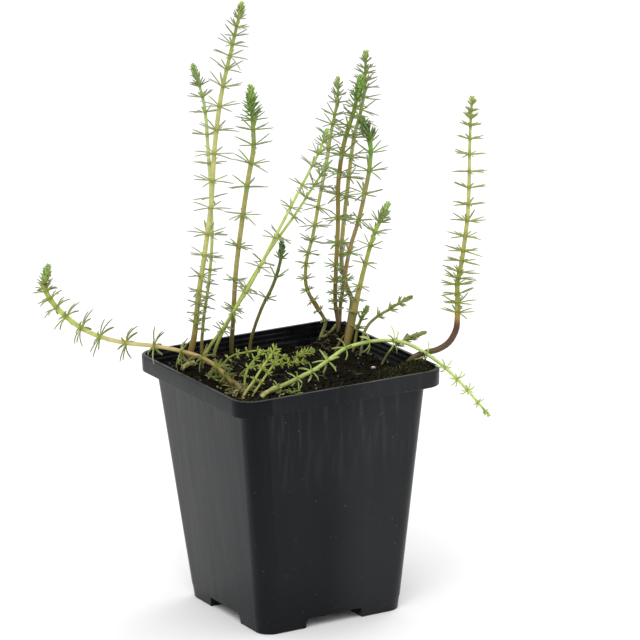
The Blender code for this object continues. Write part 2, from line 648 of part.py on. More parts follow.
def make_stem(plant, material):
    """One stem with its leaves drawn out of the faces of its nodes."""
    bm, end, bands = sweep(plant.stations)
    for station, band in zip(plant.stations, bands):
        if station[5] is None:
            continue
        for number, face in enumerate(band):
            tip = plant.leaves.get((station[5], number))
            if tip is None:
                continue
            centre = bmesh.ops.poke(bm, faces=[face])["verts"][0]
            centre.co = tip
    bud = bmesh.ops.poke(bm, faces=[end])["verts"][0]
    bud.co += plant.stations[-1][3] * plant.radius(0) * 1.5
    bmesh.ops.recalc_face_normals(bm, faces=bm.faces)
    return add_object(plant.stem.name, bm, material)


def make_socket(plant):
    """The hollow that a stem's foot leaves in the soil."""
    start = plant.stations[0]
    below = (start[0] - start[3] * GAP, *start[1:])
    low = [s for s in plant.stations if s[0].z < POT_HEIGHT + 4 * MM]
    last = plant.stations[len(low)] if len(low) < len(plant.stations) else plant.stations[-1]
    room = GAP / math.cos(math.pi / STEM_SIDES)
    bm, _, _ = sweep([below, *plant.stations[1:len(low)], last], room)
    bmesh.ops.recalc_face_normals(bm, faces=bm.faces)
    return add_object(f"socket_{plant.stem.name}", bm)


def main():
    for item in list(bpy.data.objects):
        bpy.data.objects.remove(item)
    plants = [Grown(stem) for stem in STEMS]
    grow_leaves(plants)
    make_pot()
    make_soil([make_socket(plant) for plant in plants])
    for plant in plants:
        material = make_material(f"{plant.stem.name}_green", plant.stem.colour, 0.5)
        make_stem(plant, material)


main()
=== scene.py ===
"""Looks of a young mare's tail in a square nursery pot.

Metres, +Z up. The origin is the middle of the pot's footprint, on the floor. The sides of the pot run
along X and Y. Each stem is drawn along the same route as its solid in the frame.
"""
import math
import random
from dataclasses import dataclass

import bmesh
import bpy
import numpy as np
from bpy.props import FloatProperty, FloatVectorProperty, IntProperty, PointerProperty
from mathutils import Matrix, Vector, noise


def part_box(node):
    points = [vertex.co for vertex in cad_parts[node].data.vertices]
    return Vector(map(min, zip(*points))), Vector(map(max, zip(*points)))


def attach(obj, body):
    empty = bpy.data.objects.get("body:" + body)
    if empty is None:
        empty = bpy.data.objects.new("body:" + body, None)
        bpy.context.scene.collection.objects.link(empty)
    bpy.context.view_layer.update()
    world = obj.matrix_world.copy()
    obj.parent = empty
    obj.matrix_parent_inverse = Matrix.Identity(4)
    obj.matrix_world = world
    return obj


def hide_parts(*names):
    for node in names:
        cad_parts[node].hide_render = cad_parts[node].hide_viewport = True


bl_info = {
    "name": "Potted Mare's Tail",
    "version": (1, 0, 0),
    "blender": (4, 5, 0),
    "location": "3D View > Sidebar > Mare's Tail",
    "description": "Builds a nursery pot of young mare's tail stems, piece by piece",
    "category": "Object",
}

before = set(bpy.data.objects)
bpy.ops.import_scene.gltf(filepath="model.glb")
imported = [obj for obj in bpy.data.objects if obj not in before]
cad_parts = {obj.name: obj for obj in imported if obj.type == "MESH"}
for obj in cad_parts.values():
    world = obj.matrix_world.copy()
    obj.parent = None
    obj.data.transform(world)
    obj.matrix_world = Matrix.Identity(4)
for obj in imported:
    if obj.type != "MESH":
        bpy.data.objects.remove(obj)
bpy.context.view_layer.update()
POT_LOW, POT_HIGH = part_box("pot")

MM = 0.001

# Pot
POT_HEIGHT = POT_HIGH.z
RIM_SIDE = POT_HIGH.x - POT_LOW.x
BODY_TOP_SIDE = 80.2 * MM
BODY_FOOT_SIDE = 62.8 * MM
RIM_BAND = 6.5 * MM
RIM_CORNER = 8.5 * MM
BODY_CORNER = 6.5 * MM
WALL = 1.0 * MM
RIM_WALL = 1.5 * MM
RIM_STEP_OUT = 0.9 * MM
RIM_STEP_DOWN = 1.8 * MM
RIM_STEPS = 2
FOOT_HEIGHT = 5.2 * MM
FOOT_INSET = 0.2 * MM
NOTCH_HEIGHT = 4 * MM
NOTCH_WIDTH = 26 * MM
NOTCH_SLANT = 1 * MM
FLOOR = 1.2 * MM
DRAIN_DIAMETER = 6 * MM
DRAIN_SPACING = 15 * MM
EDGE = 0.35 * MM
LEDGE_EDGE = 0.1 * MM
# How far the painted dark reflection on the pot's front corner reaches back from the two walls
PAINTED_REFLECTION_REACH_X = 8.3 * MM
PAINTED_REFLECTION_REACH_Y = 3.4 * MM
PAINTED_REFLECTION_BLUR = 0.6 * MM
CORNER_SEGMENTS = 10
# Height of the ledge under the rim band, and half the clear width inside the steps of the rim
LEDGE = POT_HEIGHT - RIM_BAND
INNER_HALF = RIM_SIDE / 2 - RIM_WALL - RIM_STEPS * RIM_STEP_OUT

# Soil
GAP = 0.3 * MM
SOIL_LEVEL = 93 * MM
SOIL_LUMP = 0.8 * MM
SOIL_LUMP_SIZE = 7 * MM
# Mounds and hollows of the soil: x, y, height, spread, in millimetres
SOIL_MOUNDS = (
    (41, 28, 6.5, 6.0),
    (40, -32, 6.6, 9.0),
    (-24, 34, 3.2, 9.0),
    (-28, -18, 0.8, 12.0),
    (18, 40, -1.5, 11.0),
)
# Half the side of the square that loose bits fall on, and of the one that root fibres start in
SOIL_REACH = 40.5 * MM
FIBRE_REACH = 36 * MM
SMALLEST_CRUMB = 0.12 * MM
# Pale mineral grains: radius from and to, in millimetres, and then the larger ones by x, y, radius
SPECK_RADIUS = (0.16, 0.42)
PALE_GRAINS = (
    (31.5, -10.5, 0.75),
    (8.6, -33.6, 0.8),
    (12.2, 1.0, 0.5),
    (-22.0, 12.5, 0.45),
    (3.5, -36.5, 0.55),
)
# Tufts of moss: x, y, spread, in millimetres, and share of the blades
MOSS_TUFTS = (
    (38, -27, 6.0, 0.45),
    (30, -34, 5.0, 0.2),
    (6, -34, 5.0, 0.15),
    (37, 30, 4.0, 0.12),
    (-29, -25, 4.0, 0.08),
)
# Height of a blade of moss from and to, in millimetres, and its radius at the foot and the tip
MOSS_HEIGHT = (0.5, 1.5)
MOSS_FOOT = 0.16 * MM
MOSS_TIP = 0.03 * MM
FIBRE_JOINTS = 6
FIBRE_RADIUS = 0.11 * MM
FIBRE_ARCH = 0.45 * MM

# Stems
BURIED = 7.5 * MM
ROOT_HALF = 34.5 * MM
NODE_SWELL = 0.2
NODE_LENGTH = 0.5 * MM
RING_STEP = 1.6 * MM
TUFT_GAP = 1.25 * MM
CROWN = 5 * MM
# Where along a leaf its rings lie, from its root to its tip
LEAF_RINGS = (0.0, 0.2, 0.45, 0.7, 0.92, 1.0)
CURVE_STEP = 0.4 * MM
TANGENT_REACH = 0.5 * MM
# How far a stem's rings stray from its route, in millimetres
WOBBLE = 0.03
# A stem blushes in full from this far below its tip
BLUSH_REACH = 30 * MM
# Leaves start at this share of the stem's radius from its middle
ROOT_SHARE = 0.8

# Leaves
# Length at the tip as a share of the full one, and growth for each length up from the foot
LEAF_AT_TIP = 0.25
FOOT_GROWTH = 0.11
# Rise over the whorl, in degrees, low on the stem and what the tip adds, and how soon that fades
LOW_RISE = 7
TIP_RISE = 46
RISE_FADE = 14 * MM
STEEPEST_RISE = 80
# The close whorls of a growing tip have shorter and steeper leaves
YOUNG_LENGTH = 0.85
YOUNG_RISE = 14
# How soon hugging fades, and how far from the tip leaves bend in full
HUG_FADE = 22 * MM
BEND_REACH = 12 * MM
# Random swings: a leaf's turn as a share of the gap to the next one, then rise, tilt and bend, in degrees
TURN_SWING = 0.28
RISE_SWING = 10
CROWN_CALM = 4
WHORL_TILT = 4
BEND_SWING = 7
# A leaf that would meet the soil or the pot is shortened step by step, down to the shortest
LEAF_MARGIN = 0.4 * MM
RIM_WIDTH = 6 * MM
SHORTEST_LEAF = 0.8 * MM
SHORTEN = 0.8
LEAST_BEND = 0.02
# Where along a leaf its root colour has turned into that of its body
LEAF_BODY = 0.4


def paint(red, green, blue):
    """A colour given as a screen shows it, from 0 to 255, in the linear values that shaders take."""
    shares = [part / 255 for part in (red, green, blue)]
    return tuple(s / 12.92 if s <= 0.04045 else ((s + 0.055) / 1.055) ** 2.4 for s in shares)


def blend(first, second, share):
    """A colour between two others, at a share of the way from the first."""
    return tuple(a + (b - a) * share for a, b in zip(first, second))


# Leaf colours from the root to the tip of a leaf
TONES = {
    "grey": (paint(148, 168, 72), paint(142, 152, 106), paint(142, 142, 124)),
    "deep": (paint(138, 168, 76), paint(128, 148, 88), paint(126, 130, 104)),
    "olive": (paint(160, 178, 76), paint(156, 166, 92), paint(146, 142, 106)),
    "lime": (paint(178, 202, 100), paint(176, 198, 110), paint(172, 184, 118)),
    "soft": (paint(154, 172, 70), paint(150, 162, 80), paint(150, 154, 104)),
    "fresh": (paint(160, 178, 66), paint(156, 170, 70), paint(150, 160, 84)),
}
NODE_OLIVE = paint(108, 116, 30)
BLUSH = paint(196, 158, 112)
CRUMB_TONES = (paint(16, 14, 9), paint(25, 21, 12), paint(40, 32, 16), paint(11, 10, 7), paint(24, 22, 11))
MOSS_TONES = (paint(44, 54, 20), paint(66, 72, 28), paint(34, 44, 18), paint(84, 84, 38))
FIBRE_TONES = (paint(58, 42, 26), paint(96, 74, 46), paint(34, 26, 18), paint(140, 116, 78))
# The colour of the painted dark reflection on the pot's front corner, and the grey of the dust and scuffs
# on the rest of it, which also paints highlights along the steps inside the rim
CORNER_PAINTED_REFLECTION = (0.0006, 0.0006, 0.0006)
DUST_AND_HIGHLIGHT_GREY = (0.30, 0.29, 0.28)
# What is left of the red, green and blue of a leaf once it is old
WILTED = (0.5, 0.58, 0.42)


# Lamps: name, place, size and power, and the place that they face
LAMPS = (
    ("key_light", (-0.7, -0.9, 1.3), 0.9, 9.0),
    ("fill_light", (0.9, 0.5, 0.9), 0.7, 3.0),
)
LAMP_AIM = Vector((0, 0, 0.1))


@dataclass
class Stem:
    """One stem and what grows on it; its lengths are in millimetres.

    The route runs from the soil to the tip. The profile gives radius and colour at shares of the
    length, from the foot. The whorls are distances from the tip. The leaves reach their full length
    at full_at from the tip, and shrink again towards the foot.
    """

    name: str
    slot: str
    route: tuple
    profile: tuple
    whorls: tuple
    leaf: float
    full_at: float
    foot_leaf: float
    bud: tuple
    tone: str = "grey"
    leaves: int = 8
    tuft: float = 5.0
    recurve: float = 8.0
    hugging: float = 0.0
    blush: float = 0.08
    leaf_width: float = 1.0


TALL_STEMS = (
    Stem("stem_left_tall", "ochre_stem",
         ((-26, 35, 94), (-24.4, 33.2, 104), (-23.3, 30.8, 120), (-21.3, 27.4, 140), (-19.6, 24.4, 159),
          (-18.8, 21.2, 183), (-17, 17.7, 204), (-14.2, 14.2, 221), (-11, 10.5, 239)),
         ((0, 1.3, (136, 92, 60)), (0.12, 1.05, (150, 146, 66)), (0.33, 0.95, (190, 192, 116)),
          (0.7, 0.88, (180, 178, 108)), (1, 0.55, (140, 162, 66))),
         (5.4, 8.8, 12.4, 16.1, 20.8, 26.3, 33.3, 41.5, 51.2, 60.9, 72.1, 83.3, 94, 102.9, 111.8, 118, 123,
          127.5, 131),
         7.8, 20, 1.2, (168, 190, 84), tuft=5.5),
    Stem("stem_left_outer", "lime_stem",
         ((-19.5, 36.5, 94), (-18.4, 36.9, 107), (-14.8, 37.4, 125), (-12.5, 38.3, 141), (-11.5, 40, 156),
          (-10.9, 42.4, 176), (-11, 45.2, 196), (-13.4, 48.3, 209)),
         ((0, 0.7, (110, 96, 52)), (0.12, 0.62, (156, 156, 84)), (0.33, 0.62, (182, 186, 104)),
          (0.7, 0.72, (196, 206, 130)), (1, 0.5, (118, 164, 66))),
         (8.3, 12.8, 18.8, 27.7, 39, 52.5, 67, 76.2, 81.2, 86.6, 92, 96, 100.6, 105),
         6.6, 16, 1.2, (146, 186, 88), leaves=7, tuft=8),
    Stem("stem_left_inner", "ochre_stem",
         ((-6.5, 36, 93.5), (-6.2, 34.5, 108), (-5.6, 31.9, 129), (-4.3, 29.2, 146), (-2.3, 25.9, 166),
          (-0.7, 23.5, 180), (-1.3, 22.6, 191), (-2.3, 21.7, 203.5)),
         ((0, 0.9, (76, 66, 34)), (0.12, 0.88, (120, 112, 56)), (0.33, 0.95, (166, 154, 92)),
          (0.7, 0.95, (162, 162, 88)), (1, 0.7, (104, 148, 52))),
         (13, 17, 23.2, 31, 40.5, 52.2, 65.6, 79.5, 91.7),
         8.3, 18, 1.0, (150, 188, 84), tone="deep", leaves=9, tuft=12),
    Stem("stem_dark_tip", "brown_stem",
         ((2, 36.8, 93), (4.6, 34.7, 106.5), (6.9, 32.8, 113.5), (9.6, 30.7, 120), (11.5, 29, 127),
          (12.6, 27.8, 133.3), (12.7, 27.2, 139.5)),
         ((0, 0.65, (84, 78, 38)), (0.12, 0.65, (104, 98, 50)), (0.33, 0.66, (122, 116, 58)),
          (0.7, 0.68, (104, 110, 54)), (1, 0.6, (62, 104, 44))),
         (7.5, 15.6, 25.2), 5.6, 15, 2.4, (91, 132, 60), tone="deep", leaves=7, tuft=8, hugging=12),
    Stem("stem_winding", "ochre_stem",
         ((33.4, 35.6, 94), (35.2, 34.6, 100.8), (32.4, 36, 107.3), (28.7, 37.1, 115), (28.1, 36.4, 125),
          (30.3, 34, 137.6), (32.2, 31.7, 152), (34.7, 29, 169), (36.3, 27.2, 181.6), (38.1, 25.4, 193.7),
          (38.2, 24.8, 201.2)),
         ((0, 0.7, (136, 146, 88)), (0.1, 0.75, (120, 116, 60)), (0.14, 1.0, (140, 98, 52)),
          (0.18, 0.75, (126, 120, 56)), (0.33, 0.7, (172, 174, 92)), (0.7, 0.74, (180, 184, 106)),
          (1, 0.48, (122, 156, 58))),
         (2.5, 6.4, 9.3, 14.5, 18.3, 23.7, 28.6, 36.1, 44.4, 53.1, 60.6, 67.2, 72.5, 77.1, 83.3, 88.4,
          93.3, 98, 103),
         7.0, 15, 0.5, (160, 188, 90), tuft=4),
    Stem("stem_right_tall", "ochre_stem",
         ((38.2, 24.2, 95.4), (43, 27.6, 105.5), (45, 30.1, 110), (44.5, 32.7, 114.5), (43.5, 34.4, 121.3),
          (43.3, 34.5, 129), (43.8, 33.6, 138.6), (45, 31.9, 153), (46.1, 30.1, 167), (47.1, 29, 176),
          (49.3, 27.2, 186), (50.3, 26.1, 193), (50.9, 24.7, 210.3)),
         ((0, 0.9, (86, 84, 36)), (0.14, 0.85, (112, 110, 46)), (0.36, 0.92, (182, 174, 108)),
          (0.7, 0.82, (182, 180, 110)), (1, 0.48, (116, 150, 54))),
         (3.7, 6.2, 8.3, 11.4, 14, 18.2, 23.2, 27, 34.8, 43.1, 51.4, 59.7, 69.2, 79.3, 83.8, 89.9, 94.5,
          100),
         7.4, 17, 0.8, (166, 190, 88), leaves=9, tuft=4),
    Stem("stem_right_brown", "brown_stem",
         ((37.6, 28.5, 96), (37.8, 30.6, 110), (37.9, 29.5, 124), (37.9, 27.2, 141), (37.5, 24.5, 163),
          (39.1, 22, 177.3), (42.1, 18.6, 191), (43.9, 16.5, 202.6)),
         ((0, 0.85, (58, 48, 24)), (0.14, 0.8, (98, 82, 42)), (0.35, 0.88, (150, 136, 68)),
          (0.52, 0.88, (140, 124, 60)), (0.66, 0.88, (118, 102, 44)), (0.8, 0.88, (128, 134, 58)),
          (1, 0.6, (84, 132, 42))),
         (7.7, 11.9, 15.6, 20.5, 24.5, 32.2, 40, 49.3, 58.8, 69.6, 79, 85.9, 90.9, 94.2, 97.5),
         8.6, 30, 1.2, (142, 184, 80), tone="deep", leaves=9, tuft=11),
    Stem("stem_right_dark", "brown_stem",
         ((39.2, 31.8, 96.5), (41.6, 33, 108.5), (41.8, 30.2, 117.5), (41.8, 27.3, 126.3),
          (42.3, 24.8, 133.7), (44, 21.6, 143.5), (45.1, 17.5, 156.4), (46.1, 14.7, 168.5),
          (45.8, 13.8, 178), (42.7, 14.3, 186.7)),
         ((0, 0.8, (96, 80, 48)), (0.14, 0.75, (144, 122, 70)), (0.35, 0.82, (164, 136, 90)),
          (0.7, 0.86, (152, 144, 84)), (0.86, 0.86, (116, 160, 62)), (1, 0.65, (52, 92, 34))),
         (14.3, 22, 32, 44, 58.8, 70.5, 75.5, 81),
         8.4, 14, 0.8, (104, 138, 64), tone="deep", leaves=9, tuft=11, hugging=8),
    Stem("stem_right_thick", "ochre_stem",
         ((36.4, 19.6, 94.5), (38.3, 19.4, 101.5), (39.7, 18.6, 108.4), (41.8, 18.2, 116.8),
          (43.6, 16.1, 127), (45, 14.2, 134.8), (46.3, 12.3, 141), (48, 10.3, 146.5), (49.9, 8.1, 152.4)),
         ((0, 1.5, (122, 106, 52)), (0.2, 1.4, (146, 130, 70)), (0.38, 1.0, (166, 156, 84)),
          (0.6, 0.85, (160, 166, 78)), (0.85, 0.8, (150, 180, 70)), (1, 0.6, (78, 146, 48))),
         (7.7, 12.6, 18.7, 26.5, 36.5, 41.7, 47), 8.8, 20, 1.0, (170, 200, 106), tuft=7, hugging=2),
)

LEANING_STEMS = (
    Stem("stem_pale_front", "lime_stem",
         ((-22.5, 30, 94), (-15.5, 23.5, 110), (-7.4, 15.4, 128), (-1.4, 8.3, 145), (4.4, 1.8, 161),
          (8.9, -3.4, 173.5), (12, -7, 182.5), (13.8, -9.8, 190.5)),
         ((0, 0.75, (140, 136, 70)), (0.12, 0.65, (166, 176, 88)), (0.33, 0.62, (178, 192, 98)),
          (0.7, 0.58, (182, 198, 106)), (1, 0.42, (156, 186, 82))),
         (5, 10.5, 16, 25, 35.3, 49.7, 63.5, 75.8, 86, 94.5), 5.6, 12, 2.0, (170, 204, 96),
         leaves=7, tuft=4, recurve=20, leaf_width=0.85),
    Stem("stem_pale_back", "lime_stem",
         ((-16.5, 32.5, 94), (-9.3, 29.4, 112), (-0.2, 25.3, 129), (7.5, 21.7, 141.5), (14.9, 18.2, 152.5),
          (20.1, 15.9, 161), (23.8, 14.2, 167), (26, 13.2, 171.5)),
         ((0, 0.7, (140, 136, 70)), (0.12, 0.62, (166, 174, 88)), (0.33, 0.6, (176, 190, 96)),
          (0.7, 0.55, (176, 194, 100)), (1, 0.42, (120, 166, 62))),
         (5.5, 10, 16, 25, 34.5, 46.8, 59, 68.5, 76.5), 5.4, 10, 2.0, (150, 190, 92), tuft=5,
         recurve=12, leaf_width=0.9),
    Stem("stem_far_right", "brown_stem",
         ((38.4, -24.5, 96.5), (41.6, -25.9, 99.9), (45.2, -27.4, 101.2), (49.4, -29.5, 102.2),
          (53.4, -31.4, 104.8), (56.8, -31.6, 109.6), (57.8, -31.3, 115.4), (57.9, -31.3, 121.7),
          (58.8, -29.9, 128), (60.8, -29.3, 134), (63, -28.6, 143), (65, -27.9, 153),
          (67.2, -25.7, 165), (69, -23.4, 177), (70.9, -21.3, 188), (72.7, -19.7, 197.3)),
         ((0, 1.1, (74, 66, 36)), (0.1, 1.15, (84, 70, 40)), (0.18, 1.25, (74, 50, 32)),
          (0.24, 1.2, (66, 38, 26)), (0.265, 1.1, (180, 136, 60)), (0.34, 0.95, (150, 154, 64)),
          (0.7, 0.72, (190, 186, 112)), (1, 0.45, (156, 172, 84))),
         (2.3, 4.9, 7.7, 10.6, 15.7, 21.6, 28.2, 34.6, 41.1, 47.4, 53.6, 59.3, 63.2, 67.5, 70, 72.5, 76,
          79.6, 83.5),
         6.9, 23, 2.6, (180, 190, 92), tone="soft", leaves=10, tuft=3, leaf_width=0.95),
    Stem("stem_arching", "lime_stem",
         ((-24.6, -22, 93.5), (-19, -23.5, 95.8), (-12, -22, 97), (3, -16, 98.6), (14, -9, 99.8),
          (24, -4, 101.2), (33, -8, 103.2), (40, -18, 104.2), (44, -31, 101.6), (47, -45, 96.4),
          (49.2, -57.6, 89.6), (50, -66.5, 85)),
         ((0, 0.95, (128, 120, 66)), (0.08, 0.85, (150, 160, 80)), (0.3, 0.8, (178, 198, 110)),
          (0.7, 0.7, (190, 208, 124)), (0.95, 0.5, (190, 210, 122)), (1, 0.4, (132, 174, 62))),
         (2.4, 7.3, 14.5, 21.5, 29, 39.8, 57, 67.5, 77.5, 91.5, 104, 113, 123),
         5.8, 40, 1.8, (175, 200, 76),
         tone="lime", leaves=6, tuft=1.5, recurve=64, blush=0.0, leaf_width=0.95),
    Stem("stem_trailing", "lime_stem",
         ((-26.6, -3.9, 93), (-27.2, 3.4, 96.8), (-27.6, 9.1, 98.6), (-30.3, 15.4, 101), (-36, 21.9, 103),
          (-44.2, 28.1, 104.9), (-52.7, 36.1, 105.6), (-59.7, 43.9, 107.3), (-64.6, 50.6, 110),
          (-68.4, 56.6, 114), (-70.5, 60.1, 117), (-72.3, 63.3, 121), (-72.9, 65.4, 124.5),
          (-72.1, 66.1, 128.5), (-70.9, 66, 132.4)),
         ((0, 0.9, (104, 82, 40)), (0.12, 0.85, (156, 134, 76)), (0.35, 0.8, (192, 174, 116)),
          (0.58, 0.88, (192, 188, 122)), (0.75, 1.0, (178, 192, 98)), (0.88, 1.05, (164, 186, 80)),
          (1, 0.65, (112, 150, 58))),
         (9.8, 13.3, 17.6, 23, 31, 39.5, 50.5, 62, 72.8, 81.7, 90.3, 97), 8.0, 24, 3.0, (158, 192, 98),
         tone="olive", leaves=9, tuft=9, recurve=44, blush=0.18, leaf_width=1.4),
)

SHOOTS = (
    Stem("shoot_bud", "green_shoot",
         ((37.8, 16.2, 94), (40.2, 16.9, 102), (42, 15.6, 107), (43.6, 14, 111.2)),
         ((0, 0.6, (110, 104, 50)), (0.6, 0.6, (104, 122, 52)), (1, 0.65, (64, 112, 44))),
         (6.5, 10.5), 3.4, 8, 2.5, (112, 146, 66), tone="olive", leaves=7, tuft=7, hugging=16),
    Stem("shoot_right", "green_shoot",
         ((38, 10.6, 94), (40, 12.6, 99), (42.5, 13.2, 103), (46.5, 12.2, 106.6), (50.4, 9.6, 109.4),
          (54.4, 6.6, 112.6), (58.1, 3.7, 115)),
         ((0, 0.68, (84, 78, 44)), (0.2, 0.62, (108, 108, 58)), (0.6, 0.58, (124, 132, 64)),
          (0.85, 0.52, (112, 132, 58)), (1, 0.55, (84, 112, 48))),
         (6.5, 11, 16.3), 3.4, 7, 2.0, (108, 128, 54), tone="olive", leaves=7, tuft=6.5, hugging=24,
         leaf_width=1.15),
    Stem("shoot_corner", "green_shoot",
         ((38, -7.5, 94.5), (40.6, -10.5, 100), (43.2, -13, 102.8), (46.1, -14.9, 104.2),
          (48.6, -16.2, 105.3), (51.2, -17.5, 106.2)),
         ((0, 0.55, (92, 90, 46)), (0.4, 0.5, (110, 124, 52)), (1, 0.55, (78, 108, 44))),
         (9, 12.5), 3.6, 7, 2.2, (106, 128, 52), tone="olive", leaves=8, tuft=9.5, hugging=26,
         leaf_width=1.2),
    Stem("shoot_front_a", "lime_stem",
         ((-31, -19.5, 93.3), (-25, -17.2, 98.4), (-19.3, -14.5, 102.8), (-15.5, -13.2, 105.8),
          (-11.6, -11.9, 109.1)),
         ((0, 0.55, (150, 146, 84)), (0.4, 0.48, (168, 180, 90)), (1, 0.42, (150, 180, 74))),
         (1.6, 3.6, 7, 11.5, 17), 2.7, 2, 0.6, (166, 188, 70), tone="fresh", leaves=7, tuft=1.2, recurve=20,
         blush=0, leaf_width=0.55),
    Stem("shoot_front_b", "lime_stem",
         ((-27, -19.8, 93.3), (-22.5, -17.2, 96.5), (-17.5, -14.8, 100), (-14, -13.4, 102.5),
          (-11, -12.2, 105)),
         ((0, 0.5, (146, 140, 80)), (0.4, 0.44, (160, 174, 84)), (1, 0.4, (142, 174, 70))),
         (2, 4.4, 9, 14), 2.5, 2, 0.6, (160, 182, 66), tone="fresh", leaves=6, tuft=1.2, recurve=20,
         blush=0, leaf_width=0.55),
    Stem("shoot_front_c", "lime_stem",
         ((-23.8, -7.2, 93.3), (-22, -4.6, 96.6), (-19, -2, 99.4), (-15.5, -0.7, 101.8),
          (-10.4, 1.1, 104.2)),
         ((0, 0.48, (132, 128, 66)), (0.4, 0.44, (142, 164, 74)), (1, 0.42, (82, 150, 66))),
         (2.5, 6, 10.5, 15), 2.5, 3, 0.7, (92, 156, 66), tone="fresh", leaves=6, tuft=2, hugging=8, blush=0,
         leaf_width=0.55),
    Stem("shoot_thin_back", "lime_stem",
         ((-18.9, 20.6, 93.6), (-16.4, 20.3, 97.2), (-14.3, 19.2, 98.6), (-10.9, 16.2, 99.8),
          (-7, 13.2, 100.7), (-2.7, 11.7, 100), (1.9, 10.4, 98), (5.1, 9.8, 96)),
         ((0, 0.42, (132, 124, 66)), (0.4, 0.4, (158, 168, 84)), (1, 0.36, (128, 164, 68))),
         (3, 6, 9.5, 13.5, 18, 22, 26), 2.0, 3, 1.2, (120, 160, 62), tone="fresh", leaves=7, tuft=2,
         recurve=20, blush=0, leaf_width=0.55),
    Stem("shoot_thin_middle", "lime_stem",
         ((-17.3, 8.4, 93.6), (-14.1, 7.2, 96.2), (-10.2, 6, 96.8), (-6.2, 4.8, 97), (-0.4, 3.6, 96.8),
          (4.6, 2.8, 96.6), (9, 1.8, 96.2)),
         ((0, 0.42, (120, 112, 60)), (0.4, 0.4, (140, 152, 74)), (1, 0.36, (118, 152, 62))),
         (2.5, 5, 8, 11, 14.5, 18, 22), 2.0, 3, 1.2, (112, 152, 58), tone="fresh", leaves=7, tuft=2,
         recurve=20, blush=0, leaf_width=0.55),
    Stem("shoot_mat", "lime_stem",
         ((8.4, 12.6, 93.6), (11, 13.4, 95.8), (15.3, 14.4, 96.2), (19.7, 15, 96.3)),
         ((0, 0.45, (112, 108, 56)), (0.4, 0.42, (134, 148, 68)), (1, 0.38, (112, 148, 58))),
         (2.5, 4.5, 6.5, 8.7, 11), 2.2, 3, 1.4, (108, 148, 56), tone="fresh", leaves=8, tuft=2,
         recurve=20, blush=0, leaf_width=0.6),
)


class PotSettings(bpy.types.PropertyGroup):
    """Finish of the plastic pot."""

    colour: FloatVectorProperty(
        name="Plastic", description="Colour of the pot's plastic", subtype="COLOR",
        default=paint(14, 15, 17), min=0, max=1)
    roughness: FloatProperty(
        name="Roughness", description="How matt the plastic is", subtype="FACTOR",
        default=0.3, min=0, max=1)
    streak: FloatProperty(
        name="Streaks", description="Depth of the flow streaks down the walls", unit="LENGTH",
        default=0.07 * MM, min=0)


class SoilSettings(bpy.types.PropertyGroup):
    """The soil's surface."""

    cells: IntProperty(
        name="Cells", description="Cells of the surface along a side", default=130, min=20)
    grain: FloatProperty(
        name="Grain", description="Height of the fine grain", unit="LENGTH", default=0.55 * MM, min=0)
    colour: FloatVectorProperty(
        name="Soil", description="Colour of the soil", subtype="COLOR",
        default=paint(21, 18, 11), min=0, max=1)
    crumbs: IntProperty(
        name="Crumbs", description="Number of loose crumbs", default=2600, min=0)
    crumb: FloatProperty(
        name="Crumb", description="Radius of a large crumb", unit="LENGTH", default=0.95 * MM, min=0)
    specks: IntProperty(
        name="Specks", description="Number of pale mineral grains", default=60, min=0)
    fibres: IntProperty(
        name="Fibres", description="Number of fine root fibres", default=90, min=0)
    moss: IntProperty(
        name="Moss", description="Number of moss blades", default=900, min=0)


class LeafSettings(bpy.types.PropertyGroup):
    """Shape of the leaves and roundness of the stems."""

    width: FloatProperty(
        name="Width", description="Width of a leaf", unit="LENGTH", default=0.86 * MM, min=0)
    thickness: FloatProperty(
        name="Thickness", description="Thickness of a leaf", unit="LENGTH", default=0.55 * MM, min=0)
    sides: IntProperty(
        name="Sides", description="Sides of a stem", default=10, min=3)


class StudioSettings(bpy.types.PropertyGroup):
    """Camera and light."""

    azimuth: FloatProperty(
        name="Azimuth", description="Camera's turn round the pot", subtype="ANGLE",
        default=math.radians(-28.6))
    elevation: FloatProperty(
        name="Elevation", description="Camera's angle above the horizon", subtype="ANGLE",
        default=math.radians(15.2))
    roll: FloatProperty(
        name="Roll", description="Camera's tilt to the side", subtype="ANGLE", default=math.radians(-1.4))
    distance: FloatProperty(
        name="Distance", description="From the aim to the camera", unit="LENGTH", default=1.8, min=0.1)
    aim_right: FloatProperty(
        name="Aim right", description="The aim's place to the right of the pot's axis", unit="LENGTH",
        default=12.3 * MM)
    aim_height: FloatProperty(
        name="Aim height", description="The aim's height", unit="LENGTH", default=114.7 * MM)
    lens: FloatProperty(
        name="Lens", description="Focal length in millimetres", default=260.8, min=1)
    sky: FloatProperty(
        name="Sky", description="Strength of the light from all round", default=1.0, min=0)
    floor_colour: FloatVectorProperty(
        name="Floor", description="Colour of the floor", subtype="COLOR",
        default=(0.95, 0.95, 0.95), min=0, max=1)


def new_group(name, inputs, outputs):
    """A shader node group with float, colour or vector sockets."""
    group = bpy.data.node_groups.new(name, "ShaderNodeTree")
    kinds = {"value": "NodeSocketFloat", "colour": "NodeSocketColor", "vector": "NodeSocketVector"}
    for label, kind, default in inputs:
        socket = group.interface.new_socket(label, in_out="INPUT", socket_type=kinds[kind])
        socket.default_value = default
    for label, kind in outputs:
        group.interface.new_socket(label, in_out="OUTPUT", socket_type=kinds[kind])
    source = group.nodes.new("NodeGroupInput")
    sink = group.nodes.new("NodeGroupOutput")
    return group, source, sink


def add_node(tree, kind, **settings):
    """A new node with its settings."""
    node = tree.nodes.new(kind)
    for key, value in settings.items():
        setattr(node, key, value)
    return node


def maths(tree, operation, first, second):
    """A Math node on two sockets or numbers."""
    node = add_node(tree, "ShaderNodeMath", operation=operation)
    for number, value in enumerate((first, second)):
        if isinstance(value, bpy.types.NodeSocket):
            tree.links.new(value, node.inputs[number])
        else:
            node.inputs[number].default_value = value
    return node.outputs[0]


def weighted_sum(tree, *terms):
    """The sum of sockets, each times its own weight."""
    total = None
    for socket, weight in terms:
        part = maths(tree, "MULTIPLY", socket, weight)
        total = part if total is None else maths(tree, "ADD", total, part)
    return total


